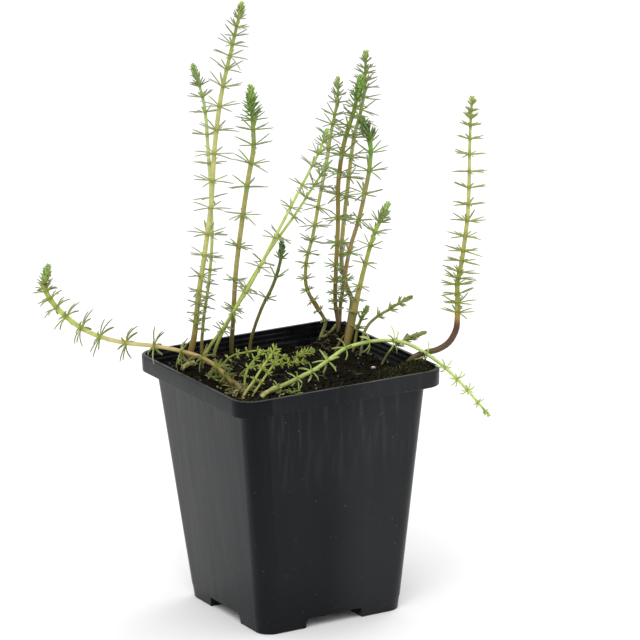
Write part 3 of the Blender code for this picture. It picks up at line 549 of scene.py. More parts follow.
def mix_colours(tree, factor, first, second):
    """A Mix node on colours that are sockets or tuples."""
    node = add_node(tree, "ShaderNodeMix", data_type="RGBA", blend_type="MIX")
    for socket, value in ((node.inputs[0], factor), (node.inputs[6], first), (node.inputs[7], second)):
        if isinstance(value, bpy.types.NodeSocket):
            tree.links.new(value, socket)
        elif isinstance(value, tuple):
            socket.default_value = (*value[:3], 1)
        else:
            socket.default_value = value
    return node.outputs[2]


def scaled_noise(tree, vector, scale, stretch=(1, 1, 1), detail=3.0, roughness=0.55):
    """Noise on a vector, with its own scale along each axis."""
    mapping = add_node(tree, "ShaderNodeMapping")
    mapping.inputs["Scale"].default_value = stretch
    tree.links.new(vector, mapping.inputs["Vector"])
    node = add_node(tree, "ShaderNodeTexNoise")
    node.inputs["Detail"].default_value = detail
    node.inputs["Roughness"].default_value = roughness
    if isinstance(scale, bpy.types.NodeSocket):
        tree.links.new(scale, node.inputs["Scale"])
    else:
        node.inputs["Scale"].default_value = scale
    tree.links.new(mapping.outputs["Vector"], node.inputs["Vector"])
    return node.outputs["Fac"]


def spread(tree, value, low, high, to_low=0.0, to_high=1.0):
    """A Map Range node."""
    node = add_node(tree, "ShaderNodeMapRange")
    tree.links.new(value, node.inputs["Value"])
    for label, number in (("From Min", low), ("From Max", high), ("To Min", to_low), ("To Max", to_high)):
        node.inputs[label].default_value = number
    return node.outputs["Result"]


def mottle_group():
    """Uneven colour and a fine grain, as on living skin and on crumbs."""
    group, source, sink = new_group(
        "mottle",
        (("Colour", "colour", (0.5, 0.5, 0.5, 1)), ("Scale", "value", 500.0), ("Amount", "value", 0.3)),
        (("Colour", "colour"), ("Height", "value")))
    place = add_node(group, "ShaderNodeTexCoord").outputs["Object"]
    coarse = scaled_noise(group, place, source.outputs["Scale"])
    fine = scaled_noise(group, place, maths(group, "MULTIPLY", source.outputs["Scale"], 4.3))
    both = weighted_sum(group, (coarse, 0.65), (fine, 0.35))
    swing = maths(group, "MULTIPLY", maths(group, "SUBTRACT", both, 0.5), source.outputs["Amount"])
    shade = maths(group, "ADD", maths(group, "MULTIPLY", swing, 4.0), 1.0)
    hsv = add_node(group, "ShaderNodeHueSaturation")
    group.links.new(source.outputs["Colour"], hsv.inputs["Color"])
    group.links.new(shade, hsv.inputs["Value"])
    group.links.new(hsv.outputs["Color"], sink.inputs["Colour"])
    group.links.new(both, sink.inputs["Height"])
    return group


def painted_corner_reflection_mask(tree, parts):
    """One on the pot's front corner, where a dark reflection is painted into the plastic, weaker towards
    the foot, else nothing.
    """
    far = [maths(tree, "MULTIPLY", parts.outputs[axis], -1) for axis in ("X", "Y")]
    tall = maths(tree, "MULTIPLY", parts.outputs["Z"], (BODY_TOP_SIDE - BODY_FOOT_SIDE) / (2 * POT_HEIGHT))
    edge = BODY_FOOT_SIDE / 2
    masks = []
    for reach, starts in zip(far, (PAINTED_REFLECTION_REACH_X, PAINTED_REFLECTION_REACH_Y)):
        near = maths(tree, "SUBTRACT", reach, tall)
        masks.append(spread(tree, near, edge - starts, edge - starts + PAINTED_REFLECTION_BLUR))
    upper = spread(tree, parts.outputs["Z"], 10 * MM, POT_HEIGHT, 0.1, 1.0)
    return maths(tree, "MULTIPLY", maths(tree, "MINIMUM", *masks), upper)


def rim_step_highlight_mask(tree, parts):
    """One along the edges of the steps inside the rim, where highlights are painted, else nothing."""
    sides = [maths(tree, "ABSOLUTE", parts.outputs[axis], 0) for axis in ("X", "Y")]
    reach = maths(tree, "MAXIMUM", *sides)
    inside = spread(tree, reach, RIM_SIDE / 2 - 0.9 * MM, RIM_SIDE / 2 - RIM_WALL)
    lit_step_edges = 0
    for step in range(RIM_STEPS + 1):
        level = POT_HEIGHT - (step + 1) * RIM_STEP_DOWN
        away = maths(tree, "ABSOLUTE", maths(tree, "SUBTRACT", parts.outputs["Z"], level), 0)
        lit_step_edges = maths(tree, "ADD", lit_step_edges, spread(tree, away, 0.35 * MM, 0.15 * MM))
    return maths(tree, "MULTIPLY", inside, lit_step_edges)


def streaks_and_painted_light_group():
    """Upright flow streaks and fine pitting of moulded plastic, with its dust and specks, a painted dark
    reflection on the front corner and painted highlights along the steps inside the rim.
    """
    group, source, sink = new_group(
        "moulded_streaks",
        (("Colour", "colour", (0.02, 0.02, 0.02, 1)), ("Dust", "value", 0.3)),
        (("Colour", "colour"), ("Roughness Shift", "value"), ("Height", "value")))
    place = add_node(group, "ShaderNodeTexCoord").outputs["Object"]
    streaks = scaled_noise(group, place, 210.0, (1, 1, 0.035), detail=2.0)
    bands = scaled_noise(group, place, 60.0, (1, 1, 0.12), detail=1.0)
    pits = scaled_noise(group, place, 2600.0, detail=2.0)
    clouds = scaled_noise(group, place, 38.0, (1, 1, 0.7), detail=4.0)
    dust = maths(group, "MULTIPLY", spread(group, clouds, 0.42, 0.72), source.outputs["Dust"])
    specks = spread(group, scaled_noise(group, place, 900.0, detail=1.0), 0.775, 0.79)
    parts = add_node(group, "ShaderNodeSeparateXYZ")
    group.links.new(place, parts.inputs[0])
    runs = spread(group, scaled_noise(group, place, 420.0, (1, 1, 0.03), detail=2.0), 0.5, 0.72)
    under_rim = spread(group, parts.outputs["Z"], 52 * MM, 94 * MM)
    below_band = spread(group, parts.outputs["Z"], LEDGE, LEDGE + 0.3 * MM, 1.0, 0.2)
    runs = maths(group, "MULTIPLY", maths(group, "MULTIPLY", runs, under_rim), below_band)
    front = spread(group, parts.outputs["Y"], -29 * MM, -31 * MM)
    paler = maths(group, "MULTIPLY", spread(group, parts.outputs["X"], -2 * MM, 14 * MM), front)
    # Painted highlights: grey lines along the edges of the steps inside the rim, broken up by the clouds
    painted_step_highlight = maths(group, "MULTIPLY", rim_step_highlight_mask(group, parts), spread(group, clouds, 0.4, 0.6))
    marks_and_highlight = weighted_sum(group, (dust, 0.05), (specks, 0.25), (runs, 0.07), (paler, 0.03), (painted_step_highlight, 0.08))
    # Painted dark reflection: the front corner is painted near black, and no dust is laid over it
    corner = painted_corner_reflection_mask(group, parts)
    marks_and_highlight = maths(group, "MULTIPLY", marks_and_highlight, maths(group, "SUBTRACT", 1, corner))
    plastic_and_painted_corner = mix_colours(group, corner, source.outputs["Colour"], CORNER_PAINTED_REFLECTION)
    colour = mix_colours(group, marks_and_highlight, plastic_and_painted_corner, DUST_AND_HIGHLIGHT_GREY)
    group.links.new(colour, sink.inputs["Colour"])
    shift = weighted_sum(group, (spread(group, streaks, 0.3, 0.7), 0.10), (clouds, 0.10))
    group.links.new(shift, sink.inputs["Roughness Shift"])
    relief = weighted_sum(group, (streaks, 0.7), (bands, 0.6), (pits, 0.05))
    group.links.new(relief, sink.inputs["Height"])
    return group


def place_group(tree, group, **values):
    """A node that holds a group, with values on its sockets."""
    node = add_node(tree, "ShaderNodeGroup", node_tree=group)
    for label, value in values.items():
        node.inputs[label].default_value = value
    return node


def shared_group(name, maker):
    """A node group that is built once and then reused."""
    return bpy.data.node_groups.get(name) or maker()


def new_material(name, roughness, specular=0.5):
    """A material with its node tree and its shader."""
    material = bpy.data.materials.new(name)
    material.use_nodes = True
    shader = material.node_tree.nodes["Principled BSDF"]
    shader.inputs["Roughness"].default_value = roughness
    shader.inputs["Specular IOR Level"].default_value = specular
    return material, material.node_tree, shader


def add_bump(tree, shader, height, distance):
    """Fine relief from a height, over a distance in metres."""
    bump = add_node(tree, "ShaderNodeBump")
    bump.inputs["Strength"].default_value = 1.0
    bump.inputs["Distance"].default_value = distance
    tree.links.new(height, bump.inputs["Height"])
    tree.links.new(bump.outputs["Normal"], shader.inputs["Normal"])


def tinted_material(name, roughness, mottle_scale, mottle_amount, relief, specular=0.5):
    """A material that takes its colour from the piece's own tint, with a mottle over it."""
    known = bpy.data.materials.get(name)
    if known:
        return known
    material, tree, shader = new_material(name, roughness, specular)
    tint = add_node(tree, "ShaderNodeAttribute", attribute_name="tint")
    mottle = place_group(tree, shared_group("mottle", mottle_group),
                         Scale=mottle_scale, Amount=mottle_amount)
    tree.links.new(tint.outputs["Color"], mottle.inputs["Colour"])
    tree.links.new(mottle.outputs["Colour"], shader.inputs["Base Color"])
    add_bump(tree, shader, mottle.outputs["Height"], relief)
    return material


def plant_skin(slot):
    """Skin of the stems and leaves of a slot."""
    return tinted_material(f"{slot}_skin", roughness=0.5, mottle_scale=480.0, mottle_amount=0.22,
                           relief=0.05 * MM, specular=0.35)


def pot_plastic(settings):
    """Satin black plastic with its streaks, dust and scuffs, a painted dark reflection on its front corner
    and painted highlights along the steps inside its rim.
    """
    material, tree, shader = new_material("satin_black_plastic", settings.roughness, specular=0.16)
    shader.inputs["Specular Tint"].default_value = (0.86, 0.92, 1.0, 1)
    streaks = place_group(tree, shared_group("moulded_streaks", streaks_and_painted_light_group),
                          Colour=(*settings.colour, 1), Dust=0.25)
    tree.links.new(streaks.outputs["Colour"], shader.inputs["Base Color"])
    rough = maths(tree, "ADD", streaks.outputs["Roughness Shift"], settings.roughness - 0.1)
    tree.links.new(rough, shader.inputs["Roughness"])
    add_bump(tree, shader, streaks.outputs["Height"], settings.streak)
    return material


def soil_skin(settings):
    """Dark crumbly soil that turns green with algae at the mound by the right corner."""
    material, tree, shader = new_material("moist_soil", 0.9, specular=0.06)
    place = add_node(tree, "ShaderNodeTexCoord").outputs["Object"]
    mottle = place_group(tree, shared_group("mottle", mottle_group), Scale=650.0, Amount=0.55)
    fibres = spread(tree, scaled_noise(tree, place, 260.0, detail=5.0, roughness=0.7), 0.56, 0.7)
    brown = mix_colours(tree, maths(tree, "MULTIPLY", fibres, 0.55), tuple(settings.colour),
                        paint(50, 38, 26))
    algae = spread(tree, distance_from(tree, place, (38 * MM, -26 * MM, 98 * MM)), 24 * MM, 6 * MM)
    patches = spread(tree, scaled_noise(tree, place, 190.0, detail=3.0), 0.45, 0.62)
    grown = maths(tree, "MULTIPLY", algae, maths(tree, "MULTIPLY", patches, 0.5))
    green = mix_colours(tree, grown, brown, paint(32, 36, 14))
    tree.links.new(green, mottle.inputs["Colour"])
    tree.links.new(mottle.outputs["Colour"], shader.inputs["Base Color"])
    add_bump(tree, shader, mottle.outputs["Height"], 0.5 * MM)
    return material


def distance_from(tree, vector, place):
    """How far a vector is from a place."""
    node = add_node(tree, "ShaderNodeVectorMath", operation="DISTANCE")
    tree.links.new(vector, node.inputs[0])
    node.inputs[1].default_value = place
    return node.outputs["Value"]


def mesh_from(name, bm):
    """Turn a bmesh into a mesh."""
    mesh = bpy.data.meshes.new(name)
    bm.to_mesh(mesh)
    bm.free()
    return mesh


def add_object(name, data):
    """Put a mesh, a lamp or a camera into the scene."""
    item = bpy.data.objects.new(name, data)
    bpy.context.scene.collection.objects.link(item)
    return item


def finish_piece(name, bm, material, stands_for=(), tints=None, sharp=35):
    """Turn a bmesh into a piece that rides with the pot."""
    mesh = mesh_from(name, bm)
    piece = add_object(name, mesh)
    mesh.materials.append(material)
    if tints:
        colours = mesh.attributes.new("tint", "FLOAT_COLOR", "POINT")
        colours.data.foreach_set("color", [part for tint in tints for part in (*tint, 1.0)])
    mesh.shade_smooth()
    mesh.set_sharp_from_angle(angle=math.radians(sharp))
    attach(piece, "root")
    if stands_for:
        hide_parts(*stands_for)
    return piece


def body_half(z):
    """Half the outer side of the pot's body at a height."""
    return (BODY_FOOT_SIDE + (BODY_TOP_SIDE - BODY_FOOT_SIDE) * z / LEDGE) / 2


def outer_rings():
    """The pot's outer side, from the feet to the top of the rim: half side, corner radius, height."""
    rim = RIM_SIDE / 2
    foot_corner = BODY_CORNER - FOOT_INSET
    above = FOOT_HEIGHT + FOOT_INSET
    return [
        (body_half(0) - FOOT_INSET - EDGE, foot_corner - EDGE, 0),
        (body_half(0) - FOOT_INSET, foot_corner, EDGE),
        (body_half(FOOT_HEIGHT) - FOOT_INSET, foot_corner, FOOT_HEIGHT),
        (body_half(above), BODY_CORNER, above),
        (body_half(above + EDGE), BODY_CORNER, above + EDGE),
        (body_half(LEDGE - EDGE), BODY_CORNER, LEDGE - EDGE),
        (body_half(LEDGE) + EDGE, BODY_CORNER + EDGE, LEDGE),
        (rim - FOOT_INSET - LEDGE_EDGE, RIM_CORNER - FOOT_INSET - LEDGE_EDGE, LEDGE),
        (rim - FOOT_INSET, RIM_CORNER - FOOT_INSET, LEDGE + LEDGE_EDGE),
        (rim, RIM_CORNER, POT_HEIGHT - 2 * EDGE),
        (rim - 0.3 * EDGE, RIM_CORNER - 0.3 * EDGE, POT_HEIGHT - 0.6 * EDGE),
        (rim - EDGE, RIM_CORNER - EDGE, POT_HEIGHT),
    ]


def inner_rings(gap=0.0):
    """The inside of the pot, from the top of the rim to the floor of the feet, moved inwards by a gap."""
    rim = RIM_SIDE / 2 - RIM_WALL
    corner = RIM_CORNER - RIM_WALL
    rings = [(rim, corner, POT_HEIGHT)]
    for step in range(RIM_STEPS + 1):
        half = rim - step * RIM_STEP_OUT
        low = POT_HEIGHT - (step + 1) * RIM_STEP_DOWN
        rings.append((half, corner - step * RIM_STEP_OUT, low))
        if step < RIM_STEPS:
            rings.append((half - RIM_STEP_OUT, corner - (step + 1) * RIM_STEP_OUT, low))
    shelf = rings[-1][2]
    inner_corner = BODY_CORNER - WALL
    above_feet = FOOT_HEIGHT + FOOT_INSET + WALL
    foot_top = FOOT_HEIGHT + WALL / 2
    inset = WALL + FOOT_INSET
    rings.append((body_half(shelf) - WALL, inner_corner, shelf))
    rings.append((body_half(above_feet) - WALL, inner_corner, above_feet))
    rings.append((body_half(foot_top) - inset, inner_corner, foot_top))
    rings.append((body_half(FLOOR) - inset, inner_corner, FLOOR))
    return [(half - gap, corner - gap, z + gap) for half, corner, z in rings]


def extend(bm, end):
    """Extrude the end face of a solid under way; only the first face stays where it was."""
    first = all(not edge.is_manifold for edge in end.edges)
    grown = bmesh.ops.extrude_face_region(bm, geom=[end])["geom"]
    if not first:
        bmesh.ops.delete(bm, geom=[end], context="FACES_ONLY")
    return next(item for item in grown if isinstance(item, bmesh.types.BMFace))


def round_square(face, half, corner, z):
    """Put a face's vertices on a square with round corners."""
    for number, vert in enumerate(face.verts):
        quarter, i = divmod(number, CORNER_SEGMENTS + 1)
        turn = math.pi / 2 * (quarter + i / CORNER_SEGMENTS)
        sign_x = 1 if quarter in (0, 3) else -1
        sign_y = 1 if quarter in (0, 1) else -1
        x = sign_x * (half - corner) + corner * math.cos(turn)
        y = sign_y * (half - corner) + corner * math.sin(turn)
        vert.co = (x, y, z)


def loft(bm, rings):
    """A closed solid through a stack of square rings."""
    bmesh.ops.create_circle(bm, cap_ends=True, segments=4 * (CORNER_SEGMENTS + 1), radius=RIM_SIDE)
    bm.faces.ensure_lookup_table()
    end = bm.faces[0]
    round_square(end, *rings[0])
    for ring in rings[1:]:
        end = extend(bm, end)
        round_square(end, *ring)
    bmesh.ops.recalc_face_normals(bm, faces=bm.faces)


def bar(length, width, low, high, along_y, slant=0.0):
    """A bar through the middle of the pot; slant narrows its top on both sides."""
    bm = bmesh.new()
    bmesh.ops.create_cube(bm, size=1)
    for vert in bm.verts:
        top = vert.co.z > 0
        across = vert.co.y * (width - (2 * slant if top else 0))
        along = vert.co.x * length
        flat = (across, along) if along_y else (along, across)
        vert.co = (*flat, high if top else low)
    bmesh.ops.recalc_face_normals(bm, faces=bm.faces)
    return bm


def combine(bm, steps):
    """Add or cut closed shapes, one after another, and return the result as a new bmesh."""
    body = add_object("working", mesh_from("working", bm))
    helpers = []
    for operation, shape in steps:
        helper = add_object("helper", mesh_from("helper", shape))
        modifier = body.modifiers.new("step", "BOOLEAN")
        modifier.operation = operation
        modifier.solver = "EXACT"
        modifier.object = helper
        helpers.append(helper)
    result = bmesh.new()
    evaluated = body.evaluated_get(bpy.context.evaluated_depsgraph_get())
    result.from_mesh(evaluated.to_mesh())
    evaluated.to_mesh_clear()
    for item in (body, *helpers):
        data = item.data
        bpy.data.objects.remove(item)
        bpy.data.meshes.remove(data)
    return result


class MARESTAIL_OT_pot(bpy.types.Operator):
    """Build the square nursery pot with its stepped rim, corner feet and drain holes"""

    bl_idname = "marestail.pot"
    bl_label = "Nursery Pot"

    def execute(self, context):
        settings = context.scene.marestail_pot
        bm = bmesh.new()
        loft(bm, outer_rings() + inner_rings())
        floor_length = 2 * (body_half(0) - FOOT_INSET - WALL / 5)
        floor_width = NOTCH_WIDTH + 2 * FLOOR
        steps = []
        for along_y in (False, True):
            steps.append(("UNION", bar(floor_length, floor_width, 0, FOOT_HEIGHT, along_y)))
        for along_y in (False, True):
            notch = bar(RIM_SIDE, NOTCH_WIDTH, -NOTCH_HEIGHT, NOTCH_HEIGHT, along_y, NOTCH_SLANT)
            steps.append(("DIFFERENCE", notch))
        for x, y in ((0, 0), (1, 0), (0, 1), (-1, 0), (0, -1)):
            drain = bmesh.new()
            bmesh.ops.create_cone(drain, cap_ends=True, segments=32, radius1=DRAIN_DIAMETER / 2,
                                  radius2=DRAIN_DIAMETER / 2, depth=2 * FOOT_HEIGHT)
            bmesh.ops.translate(drain, verts=drain.verts,
                                vec=(x * DRAIN_SPACING, y * DRAIN_SPACING, FOOT_HEIGHT))
            steps.append(("DIFFERENCE", drain))
        pot = combine(bm, steps)
        bmesh.ops.remove_doubles(pot, verts=pot.verts, dist=0.002 * MM)
        finish_piece("nursery_pot", pot, pot_plastic(settings), ["pot"], sharp=28)
        return {"FINISHED"}


def soil_height(x, y):
    """Height of the soil's surface over a point of the pot."""
    z = SOIL_LEVEL
    for mound_x, mound_y, height, width in SOIL_MOUNDS:
        away = ((x / MM - mound_x) ** 2 + (y / MM - mound_y) ** 2) / (2 * width ** 2)
        z += height * MM * math.exp(-away)
    lump = noise.noise(Vector((x, y, 0)) / SOIL_LUMP_SIZE)
    fine = noise.noise(Vector((x, y, SOIL_LEVEL)) * 2.3 / SOIL_LUMP_SIZE)
    return z + SOIL_LUMP * (lump + 0.6 * fine)


def soil_surface(x, y, grain):
    """The soil's height with its fine grain."""
    place = Vector((x, y, 0))
    crumbs = noise.turbulence(place / (2.2 * MM), 3, False)
    clods = noise.noise(place / (4.1 * MM) + Vector((9, 3, 1)))
    return soil_height(x, y) + grain * (1.1 * (crumbs - 0.6) + 0.8 * clods)


class MARESTAIL_OT_soil(bpy.types.Operator):
    """Build the block of soil with its crumbly surface"""

    bl_idname = "marestail.soil"
    bl_label = "Soil"

    def execute(self, context):
        settings = context.scene.marestail_soil
        bm = bmesh.new()
        bmesh.ops.create_grid(bm, x_segments=settings.cells, y_segments=settings.cells, size=RIM_SIDE / 2)
        top = list(bm.verts)
        bmesh.ops.extrude_face_region(bm, geom=list(bm.faces))
        for vert in bm.verts:
            vert.co.z = -FLOOR
        for vert in top:
            vert.co.z = soil_surface(vert.co.x, vert.co.y, settings.grain)
        bmesh.ops.recalc_face_normals(bm, faces=bm.faces)
        inside = bmesh.new()
        rings = inner_rings(GAP)
        rings[0] = (rings[0][0], rings[0][1], 2 * POT_HEIGHT)
        loft(inside, rings)
        floor_width = NOTCH_WIDTH + 2 * (FLOOR + GAP)
        steps = [("INTERSECT", inside)]
        for along_y in (False, True):
            steps.append(("DIFFERENCE", bar(RIM_SIDE, floor_width, -FLOOR, FOOT_HEIGHT + GAP, along_y)))
        soil = combine(bm, steps)
        finish_piece("soil_block", soil, soil_skin(settings), ["soil"], sharp=60)
        return {"FINISHED"}


def on_soil(rng, half=SOIL_REACH):
    """A random place inside the pot's wall."""
    while True:
        x = rng.uniform(-half, half)
        y = rng.uniform(-half, half)
        corner = half - BODY_CORNER
        if math.hypot(max(abs(x) - corner, 0), max(abs(y) - corner, 0)) < BODY_CORNER:
            return x, y


def random_lean(rng, least, most):
    """A random turn about the upright, after a lean by an angle between two limits, in radians."""
    turn = Matrix.Rotation(rng.uniform(0, math.tau), 4, "Z")
    return turn @ Matrix.Rotation(rng.uniform(least, most), 4, "X")


def add_lump(bm, rng, place, size):
    """One irregular grain: a small icosphere pushed out of shape."""
    squash = Matrix.Diagonal(
        (rng.uniform(0.7, 1.2), rng.uniform(0.7, 1.2), rng.uniform(0.5, 0.95), 1))
    spin = random_lean(rng, -0.6, 0.6)
    verts = bmesh.ops.create_icosphere(bm, subdivisions=1, radius=size)["verts"]
    for vert in verts:
        vert.co = vert.co * (1 + rng.uniform(-0.3, 0.3))
    bmesh.ops.transform(bm, matrix=Matrix.Translation(place) @ spin @ squash, verts=verts)
    return len(verts)


class MARESTAIL_OT_crumbs(bpy.types.Operator):
    """Scatter loose crumbs and pale mineral grains over the soil"""

    bl_idname = "marestail.crumbs"
    bl_label = "Crumbs and Grains"

    def execute(self, context):
        settings = context.scene.marestail_soil
        rng = random.Random(41)
        bm = bmesh.new()
        tints = []
        for _ in range(settings.crumbs):
            x, y = on_soil(rng)
            size = settings.crumb * rng.uniform(0.18, 1.0) ** 2 + SMALLEST_CRUMB
            z = soil_surface(x, y, settings.grain) + size * rng.uniform(-0.2, 0.35)
            tint = rng.choice(CRUMB_TONES)
            tints += [tint] * add_lump(bm, rng, (x, y, z), size)
        crumb = tinted_material("soil_crumb", roughness=0.9, mottle_scale=900.0, mottle_amount=0.5,
                                relief=0.15 * MM, specular=0.06)
        finish_piece("soil_crumbs", bm, crumb, tints=tints, sharp=50)
        bm = bmesh.new()
        tints = []
        for _ in range(settings.specks):
            x, y = on_soil(rng)
            size = rng.uniform(*SPECK_RADIUS) * MM
            z = soil_surface(x, y, settings.grain) + 0.35 * MM
            grey = rng.uniform(120, 225)
            tints += [paint(grey, grey * 0.97, grey * 0.9)] * add_lump(bm, rng, (x, y, z), size)
        for x, y, size in PALE_GRAINS:
            z = soil_surface(x * MM, y * MM, settings.grain) + 0.5 * MM
            tints += [paint(226, 222, 208)] * add_lump(bm, rng, (x * MM, y * MM, z), size * MM)
        grain = tinted_material("pale_grain", roughness=0.7, mottle_scale=1400.0, mottle_amount=0.2,
                                relief=0.1 * MM)
        finish_piece("mineral_grains", bm, grain, tints=tints, sharp=50)
        return {"FINISHED"}


class MARESTAIL_OT_moss(bpy.types.Operator):
    """Plant tiny moss blades on the mound by the right corner and in a few spots"""

    bl_idname = "marestail.moss"
    bl_label = "Moss"

    def execute(self, context):
        settings = context.scene.marestail_soil
        rng = random.Random(77)
        bm = bmesh.new()
        tints = []
        edge = INNER_HALF - 0.4 * MM
        for x0, y0, width, share in MOSS_TUFTS:
            for _ in range(int(settings.moss * share)):
                x = min(max(rng.gauss(x0, width) * MM, -edge), edge)
                y = min(max(rng.gauss(y0, width) * MM, -edge), edge)
                z = soil_surface(x, y, settings.grain)
                height = rng.uniform(*MOSS_HEIGHT) * MM
                lean = random_lean(rng, 0, 0.8)
                verts = bmesh.ops.create_cone(bm, cap_ends=True, segments=3, radius1=MOSS_FOOT,
                                              radius2=MOSS_TIP, depth=height)["verts"]
                lift = Matrix.Translation((0, 0, height * 0.4))
                bmesh.ops.transform(bm, matrix=Matrix.Translation((x, y, z)) @ lean @ lift, verts=verts)
                tints += [rng.choice(MOSS_TONES)] * len(verts)
        moss = tinted_material("moss", roughness=0.7, mottle_scale=800.0, mottle_amount=0.3,
                               relief=0.05 * MM, specular=0.3)
        finish_piece("moss_blades", bm, moss, tints=tints, sharp=60)
        return {"FINISHED"}


def smooth_route(points):
    """Dense points of a smooth curve through a route's points."""
    points = np.array(points, float)
    knots = np.concatenate([[0], np.cumsum(np.linalg.norm(np.diff(points, axis=0), axis=1))])
    slopes = np.gradient(points, knots, axis=0)
    dense = []
    for i in range(len(points) - 1):
        span = knots[i + 1] - knots[i]
        count = max(2, int(span / CURVE_STEP))
        for t in np.arange(count) / count:
            h = (2 * t ** 3 - 3 * t ** 2 + 1, t ** 3 - 2 * t ** 2 + t,
                 3 * t ** 2 - 2 * t ** 3, t ** 3 - t ** 2)
            dense.append(h[0] * points[i] + h[1] * span * slopes[i] + h[2] * points[i + 1]
                         + h[3] * span * slopes[i + 1])
    dense.append(points[-1])
    return np.array(dense)


class Route:
    """A smooth curve that is read by the distance from its far end."""

    def __init__(self, points):
        self.curve = smooth_route(points)
        steps = np.linalg.norm(np.diff(self.curve, axis=0), axis=1)
        self.along = np.concatenate([[0], np.cumsum(steps)])
        self.whole = float(self.along[-1])

    def point(self, from_tip):
        """The place on the curve."""
        place = self.whole - from_tip
        return Vector([np.interp(place, self.along, self.curve[:, axis]) for axis in range(3)])

    def tangent(self, from_tip):
        """The direction of the curve, towards its far end."""
        ahead = self.point(max(from_tip - TANGENT_REACH, 0))
        behind = self.point(min(from_tip + TANGENT_REACH, self.whole))
        return (ahead - behind).normalized()


def leaf_length(stem, from_tip, from_foot):
    """Leaves are short at the growing tip, longest below it and short again at the foot."""
    near_tip = stem.leaf * MM * min(1, LEAF_AT_TIP + (1 - LEAF_AT_TIP) * from_tip / (stem.full_at * MM))
    near_foot = stem.foot_leaf * MM + FOOT_GROWTH * from_foot
    return min(near_tip, near_foot)


def leaf_rise(from_tip):
    """Angle of a leaf over its whorl, in degrees: upright at the tip, level further down."""
    return LOW_RISE + TIP_RISE * math.exp(-from_tip / RISE_FADE)


def clear_of_pot(point):
    """True where a leaf's tip meets neither the soil nor the pot."""
    reach = max(abs(point.x), abs(point.y))
    if point.z > POT_HEIGHT + LEAF_MARGIN and reach > RIM_SIDE / 2 - RIM_WIDTH:
        return True
    if reach > RIM_SIDE / 2 + LEAF_MARGIN:
        return True
    return reach < INNER_HALF - LEAF_MARGIN and point.z > soil_height(point.x, point.y) + LEAF_MARGIN


def leaf_taper(share):
    """A leaf's width at a share of its length, narrower at its root and towards its tip."""
    return min(1.0, 0.7 + 1.5 * share) * (1 - 0.55 * share ** 7)


class Growth:
    """A stem under way: its mesh and the tint of each vertex, in the order that they are made."""

    def __init__(self, settings):
        self.bm = bmesh.new()
        self.tints = []
        self.sides = settings.sides
        self.width = settings.width
        self.thickness = settings.thickness
        self.blade = self.make_blade()

    def make_blade(self):
        """A straight blade of unit length along X, four-sided and closed, to be bent for each leaf."""
        bm = bmesh.new()
        bmesh.ops.create_circle(bm, cap_ends=True, segments=4, radius=0.5)
        bm.faces.ensure_lookup_table()
        end = bm.faces[0]
        for number, share in enumerate(LEAF_RINGS):
            if number:
                end = extend(bm, end)
            for vert, (y, z) in zip(end.verts, ((-0.5, 0), (0, -0.5), (0.5, 0), (0, 0.5))):
                vert.co = (share, y, z)
        bmesh.ops.recalc_face_normals(bm, faces=bm.faces)
        return mesh_from("blade", bm)

    def tube(self, stations, sides=None):
        """A closed tube through stations of place, direction, radius and tint."""
        sides = sides or self.sides
        first = bmesh.ops.create_circle(self.bm, cap_ends=True, segments=sides, radius=MM)["verts"]
        end = first[0].link_faces[0]
        side = stations[0][1].orthogonal()
        for number, (centre, ahead, radius, tint) in enumerate(stations):
            if number:
                end = extend(self.bm, end)
            side = (side - side.dot(ahead) * ahead).normalized()
            across = ahead.cross(side)
            for i, vert in enumerate(end.verts):
                turn = math.tau * i / sides
                vert.co = centre + radius * (side * math.cos(turn) + across * math.sin(turn))
            self.tints += [tint] * sides

    def leaf(self, root, out, ahead, length, rise, recurve, tints, width):
        """A thin blade that leaves its whorl at a rise and bends back by the recurve, both in degrees."""
        start = len(self.tints)
        self.bm.from_mesh(self.blade)
        self.bm.verts.ensure_lookup_table()
        flat = out.cross(ahead).normalized()
        rise = math.radians(rise)
        bend = math.radians(recurve)
        if abs(bend) < LEAST_BEND:
            bend = LEAST_BEND
        root_tint, body_tint, tip_tint = tints
        for vert in self.bm.verts[start:]:
            share, y, z = vert.co
            angle = rise - bend * share
            along = length * (math.sin(rise) - math.sin(angle)) / bend
            up = length * (math.cos(angle) - math.cos(rise)) / bend
            normal = ahead * math.cos(angle) - out * math.sin(angle)
            taper = leaf_taper(share)
            vert.co = (root + out * along + ahead * up + flat * (y * self.width * width * taper)
                       + normal * (z * self.thickness * taper))
            if share < LEAF_BODY:
                self.tints.append(blend(root_tint, body_tint, share / LEAF_BODY))
            else:
                self.tints.append(blend(body_tint, tip_tint, (share - LEAF_BODY) / (1 - LEAF_BODY)))

    def done(self, name, slot, stands_for=()):
        """Turn what has grown into a piece."""
        bmesh.ops.recalc_face_normals(self.bm, faces=self.bm.faces)
        bpy.data.meshes.remove(self.blade)
        return finish_piece(name, self.bm, plant_skin(slot), stands_for, self.tints, sharp=70)


def read_profile(stem, share):
    """A stem's radius and colour at a share of its length from the foot."""
    places = [place for place, _, _ in stem.profile]
    radius = float(np.interp(share, places, [radius for _, radius, _ in stem.profile])) * MM
    colours = [paint(*colour) for _, _, colour in stem.profile]
    return radius, tuple(float(np.interp(share, places, [c[i] for c in colours])) for i in range(3))


def all_whorls(stem):
    """The stem's whorls, with the close ones of its growing tip between them."""
    places = [place * MM for place in stem.whorls]
    tuft = stem.tuft * MM
    close = []
    place = 0.2 * MM
    while place < tuft:
        close.append(place)
        place += TUFT_GAP * (0.75 + 0.6 * place / tuft)
    room = 0.45 * TUFT_GAP
    apart = [p for p in close if all(abs(p - q) > room for q in places)]
    return sorted(apart + places)


def leaf_tints(stem, rng, from_tip):
    """Colours of a leaf from its root to its tip, greener towards the growing tip."""
    tuft = stem.tuft * MM
    youth = max(0.0, min(1.0, 1.15 - from_tip / tuft)) if from_tip < 1.15 * tuft else 0.0
    shade = rng.uniform(0.82, 1.15)
    bud = paint(*stem.bud)
    return [tuple(part * shade for part in blend(tone, bud, share * youth))
            for tone, share in zip(TONES[stem.tone], (1.0, 0.9, 0.65))]


